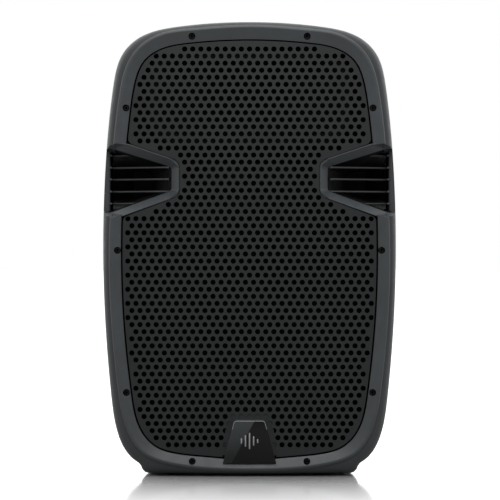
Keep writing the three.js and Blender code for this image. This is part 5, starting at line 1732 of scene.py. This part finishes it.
def make_buttons():
    """Two push buttons and the hexagonal collars round them."""
    profile = [(3.7, 0.02), (5.4, 0.02), (5.4, 0.5), (5.0, 0.75), (3.7, 0.75)]
    profile = [(r, FACE + y) for r, y in profile]
    collars = [lathe("collar", profile, 6, M_NICKEL, (x, BUTTON_Z)) for _, x, _ in BUTTONS]
    collars = merge_objects("button_collars", collars)
    finish_mesh(collars, 20)
    attach(collars, "cabinet")
    profile = [
        (0, 152), (3, 152), (3, 165.9), (2.85, 166.5), (2.4, 166.9), (1.6, 167.05),
        (1.2, 166.8), (0, 166.7),
    ]
    for name, x, body in BUTTONS:
        button = lathe(name + "_cap", profile, 36, M_BUTTON, (x, BUTTON_Z))
        finish_mesh(button, 35)
        attach(button, body, name)


# ------------------------------------------------------------------ power switch and mains inlet
def make_power_switch():
    surround_loop = rounded_rect(*ROCKER, 15, 13, 2.0, 5)
    surround = prism("rocker_surround", surround_loop, FACE + GAP, FACE + 2.1, M_SWITCH, 0.7)
    box = prism("box", rounded_rect(*ROCKER, 12, 10, 0.5, 2), 145, FACE + 1, M_SWITCH)
    boolean(surround, [box], "UNION")
    opening = rounded_rect(*ROCKER, 9.5, 7.6, 0.6, 3)
    boolean(surround, [prism("cutter", opening, 148, 180, M_SWITCH)])
    finish_mesh(surround, 35)
    attach(surround, "cabinet", "rocker_frame")
    # the rocker's hollowed section, in y and z about its pivot
    profile = [
        (-2.5, -3), (-2.5, 3), (1, 5.55), (4.6, 5.6), (5, 5.2), (4.5, 4.2), (3.9, 2.4),
        (3.62, 0.6), (3.62, -0.6), (3.9, -2.4), (4.5, -4.2), (5, -5.2), (4.6, -5.6), (1, -5.55),
    ]
    stations = ((-8.9, 0.94), (-8.6, 1.0), (8.6, 1.0), (8.9, 0.94))  # x, scale
    rows = [[(x, y * k, z * k) for y, z in profile] for x, k in stations]
    body = skin("rocker", rows, M_SWITCH)
    dash = prism("dash", rounded_rect(0, 3.55, 0.3, 0.95, 0.2, 2), 4.0, 4.5, M_PRINT)
    ring_profile = [(0.65, 4.0), (0.65, 4.5), (0.95, 4.5), (0.95, 4.0)]
    ring = lathe("ring", ring_profile, 28, M_PRINT, (0, -3.5))
    rocker = merge_objects("power_rocker_cap", [body, dash, ring])
    finish_mesh(rocker, 35)
    place = Matrix.Translation((ROCKER[0] * MM, 159.5 * MM, ROCKER[1] * MM))
    rocker.data.transform(place @ Matrix.Rotation(math.radians(-12), 4, "X"))
    attach(rocker, "power_switch", "power_rocker")


def make_mains_inlet():
    x, z = INLET
    inlet = prism("inlet", rounded_rect(x, z, 26, 21, 3, 5), FACE + GAP, FACE + 2.4, M_JACK, 0.7)
    box = prism("box", rounded_rect(x, z, 23, 18, 1, 2), 140, FACE + 1, M_JACK)
    boolean(inlet, [box], "UNION")
    corners = [(-12, -3.2), (-12, 9.4), (-8.6, 12.8), (8.6, 12.8), (12, 9.4), (12, -3.2)]
    cup = fillet([(x + dx, z + dz) for dx, dz in corners], [1.5, 1, 1, 1, 1, 1.5], 3)
    flared = inset(cup, -0.8)
    cup_sections = [(147, cup), (FACE + 1.6, cup), (FACE + 2.6, flared), (175, flared)]
    drawer_z = z - 10.9
    drawer_hole = rounded_rect(x, drawer_z, 11.6, 3.5, 0.5, 2)
    cutters = [
        loft("cutter", cup_sections, M_JACK),
        prism("cutter", drawer_hole, 143, 180, M_JACK),
    ]
    boolean(inlet, cutters)
    parts = [inlet]
    for dx, dz in ((-7, 3), (0, 7.4), (7, 3)):
        pin = rounded_rect(x + dx, z + dz, 1, 2.4, 0.3, 2)
        parts.append(prism("pin", pin, 146, 160, M_NICKEL, 0.25, 2))
    for sign in (-1, 1):
        parts.append(small_screw((x + sign * 22.2, z), 2.2))
    inlet = merge_objects("mains_inlet_unit", parts)
    finish_mesh(inlet, 35)
    attach(inlet, "cabinet", "mains_inlet")
    drawer = [
        prism("drawer", rounded_rect(x, drawer_z, 11, 3, 0.5, 3), 144, 164.2, M_SWITCH, 0.4, 2),
        prism("grip", rounded_rect(x, drawer_z, 4, 1.5, 0.6, 3), 164.0, 165.6, M_SWITCH, 0.5, 2),
    ]
    drawer = merge_objects("fuse_drawer_front", drawer)
    finish_mesh(drawer, 35)
    attach(drawer, "fuse_holder", "fuse_drawer")


# ------------------------------------------------------------------ panel screws, pole socket
def make_panel_screws():
    """Cross-head screws: one at each corner of the panel, and two more along each side."""
    profile = [
        (0, 148), (1.6, 149), (1.6, 161.8), (4, 161.8), (3.9, 162.6), (3.1, 163.5),
        (1.8, 163.95), (0, 164),
    ]
    screw = lathe("panel_screw", profile, 32, M_SCREW)
    boolean(screw, cross_cutters(0, 0, 2.0, 0.4, 0.15, 162.9, 166))
    finish_mesh(screw, 35)
    mesh = keep_mesh(screw)
    for side, sign in SIDES:
        for level, z in (("lower", 156), ("upper", 484)):
            tag = f"{side}_{level}"
            place = (sign * 82.5, 0, z)
            node = "panel_screw_" + tag
            attach_copy("cross_screw_" + tag, mesh, place, "cabinet", node)
    extra = []
    for _, sign in SIDES:
        for z in (240, 335):
            ob = link(bpy.data.objects.new("extra", mesh.copy()))
            ob.data.transform(Matrix.Translation((sign * 83.6 * MM, 0, z * MM)))
            extra.append(ob)
    extra = merge_objects("panel_edge_screws", extra)
    finish_mesh(extra, 35)
    attach(extra, "cabinet")


def make_pole_socket():
    profile = [
        (0, 101), (17.2, 101), (18, 100.2), (18, 4.2), (18.5, 3.0), (19.4, 2.4), (21.6, 2.4),
        (21.6, 6.6), (34, 6.6), (34, 9.6), (22, 9.6), (22, 104), (0, 104),
    ]
    socket = lathe("pole_socket_cup", profile, 64, M_NYLON, axis="Z")
    finish_mesh(socket, 35)
    attach(socket, "cabinet", "pole_socket")


def dress_cad_nodes():
    """Gives every CAD node the material of its slot."""
    slots = {row["node"]: row["material_slot"] for row in frame["record"].get("subparts", [])}
    for name, ob in frame["nodes"].items():
        ob.data.materials.clear()
        ob.data.materials.append(SLOT_MATERIALS.get(slots.get(name), M_BLACK))


# ------------------------------------------------------------------ floor, light, camera (metres)
SHEEN_NEAR, SHEEN_FALL = 0.86, 1.30  # the floor's reflection at the cabinet, and its loss per m
SHEEN_HALF_X, SHEEN_HALF_Y = 0.22, 0.18  # the area where the reflection is full
FLOOR_SEEN, FLOOR_FELT = 1.02, 0.36  # floor brightness to the camera, and to other rays
WORLD_FRONT, WORLD_BACK, WORLD_TOP = 0.50, 1.6, 0.08  # strengths; the top's is added
WORLD_TURN = (-0.66, 0.15)  # the span of direction y over which front turns to back
WORLD_LIFT = (0.15, 0.95)  # the span of direction z over which the top comes in


def calc(tree, operation, a, b=0.0):
    return add_node(tree, "ShaderNodeMath", {0: a, 1: b}, operation=operation).outputs[0]


def is_camera_ray(tree):
    return add_node(tree, "ShaderNodeLightPath", {}).outputs["Is Camera Ray"]


def floor_material():
    """A white floor whose reflection fades with distance from the cabinet."""
    material = bpy.data.materials.new("floor")
    material.use_nodes = True
    tree = material.node_tree
    tree.nodes.clear()
    position = add_node(tree, "ShaderNodeNewGeometry", {}).outputs["Position"]
    place = add_node(tree, "ShaderNodeSeparateXYZ", {0: position}).outputs
    squares = []
    for i, half in enumerate((SHEEN_HALF_X, SHEEN_HALF_Y)):
        beyond = calc(tree, "SUBTRACT", calc(tree, "ABSOLUTE", place[i]), half)
        beyond = calc(tree, "MAXIMUM", beyond, 0.0)
        squares.append(calc(tree, "MULTIPLY", beyond, beyond))
    distance = calc(tree, "SQRT", calc(tree, "ADD", *squares))
    fall = calc(tree, "MULTIPLY", distance, SHEEN_FALL)
    sheen = calc(tree, "MAXIMUM", calc(tree, "SUBTRACT", SHEEN_NEAR, fall), 0.0)
    camera_ray = is_camera_ray(tree)
    seen = add_node(tree, "ShaderNodeBsdfDiffuse", {"Color": grey(FLOOR_SEEN)}).outputs[0]
    felt = add_node(tree, "ShaderNodeBsdfDiffuse", {"Color": grey(FLOOR_FELT)}).outputs[0]
    matt = add_node(tree, "ShaderNodeMixShader", {0: camera_ray, 1: felt, 2: seen}).outputs[0]
    gloss_inputs = {"Color": grey(1.0), "Roughness": 0.1}
    gloss = add_node(tree, "ShaderNodeBsdfGlossy", gloss_inputs).outputs[0]
    share = calc(tree, "MULTIPLY", sheen, camera_ray)
    both = add_node(tree, "ShaderNodeMixShader", {0: share, 1: matt, 2: gloss}).outputs[0]
    add_node(tree, "ShaderNodeOutputMaterial", {0: both})
    return material


def make_floor():
    material = floor_material()
    mesh = bpy.data.meshes.new("floor")
    reach = 30
    corners = [(-reach, -reach, 0), (reach, -reach, 0), (reach, reach, 0), (-reach, reach, 0)]
    mesh.from_pydata(corners, [], [(0, 1, 2, 3)])
    floor = link(bpy.data.objects.new("floor", mesh))
    mesh.materials.append(material)
    floor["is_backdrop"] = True


def make_world():
    """A white studio, brighter behind; the camera sees it plain white."""
    world = bpy.data.worlds.new("studio")
    bpy.context.scene.world = world
    world.use_nodes = True
    tree = world.node_tree
    tree.nodes.clear()

    def ease(value, span, low, high):
        inputs = {0: value, 1: span[0], 2: span[1], 3: low, 4: high}
        smooth = {"interpolation_type": "SMOOTHSTEP"}
        return add_node(tree, "ShaderNodeMapRange", inputs, **smooth).outputs[0]

    def background(strength):
        inputs = {"Color": grey(1), "Strength": strength}
        return add_node(tree, "ShaderNodeBackground", inputs).outputs[0]

    coords = add_node(tree, "ShaderNodeTexCoord", {}).outputs["Generated"]
    direction = add_node(tree, "ShaderNodeSeparateXYZ", {0: coords}).outputs
    turn = ease(direction[1], WORLD_TURN, WORLD_FRONT, WORLD_BACK)
    lift = ease(direction[2], WORLD_LIFT, 0.0, WORLD_TOP)
    lit = background(calc(tree, "ADD", turn, lift))
    inputs = {0: is_camera_ray(tree), 1: lit, 2: background(1.0)}
    pick = add_node(tree, "ShaderNodeMixShader", inputs).outputs[0]
    add_node(tree, "ShaderNodeOutputWorld", {0: pick})


def area_light(name, place, target, size, size_y, power):
    light = bpy.data.lights.new(name, "AREA")
    light.energy = power
    light.shape = "RECTANGLE"
    light.size = size
    light.size_y = size_y
    ob = link(bpy.data.objects.new(name, light))
    ob.location = place
    aim = Vector(target) - Vector(place)
    ob.rotation_euler = aim.to_track_quat("-Z", "Y").to_euler()


def make_camera():
    data = bpy.data.cameras.new("camera")
    data.sensor_width = 36.0
    data.lens = 146.3
    data.clip_end = 200
    camera = link(bpy.data.objects.new("camera", data))
    camera.location = (0.0007, -3.18, 0.335)
    camera.rotation_euler = (math.radians(90), 0, 0)
    bpy.context.scene.camera = camera
    view = bpy.context.scene.view_settings
    view.view_transform = "Standard"
    view.look = "None"


# ------------------------------------------------------------------ everything, in order
make_baffle()
make_ducts()
uncut_skin = make_shell()
for side_name, side_sign in SIDES:
    make_louvre(side_name, side_sign, uncut_skin)
bpy.data.meshes.remove(uncut_skin)
make_grille()
make_badge()
make_baffle_screws()
make_feet()

make_cone()
make_suspension()
make_motor()
make_basket()
make_basket_screws()
make_horn()
make_compression_driver()

make_panel()
make_markings()
make_leds()
make_heat_sink()
for jack_name, jack_x in JACKS:
    make_jack(jack_name, jack_x, JACK_Z, male=jack_name == "link_jack")
make_knobs()
make_buttons()
make_power_switch()
make_mains_inlet()
make_panel_screws()
make_pole_socket()

dress_cad_nodes()
make_floor()
make_world()
area_light("top", (0, -1.0, 3.0), (0, 0, 0.35), size=2.4, size_y=1.6, power=24)
area_light("front_top", (0, -1.5, 1.5), (0, -0.18, 0.35), size=1.0, size_y=0.6, power=11)
make_camera()

boxes = {"cad_box": CAD_BOX, "visual_box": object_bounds()}
{key: [list(map(float, p)) for p in box] for key, box in boxes.items()}
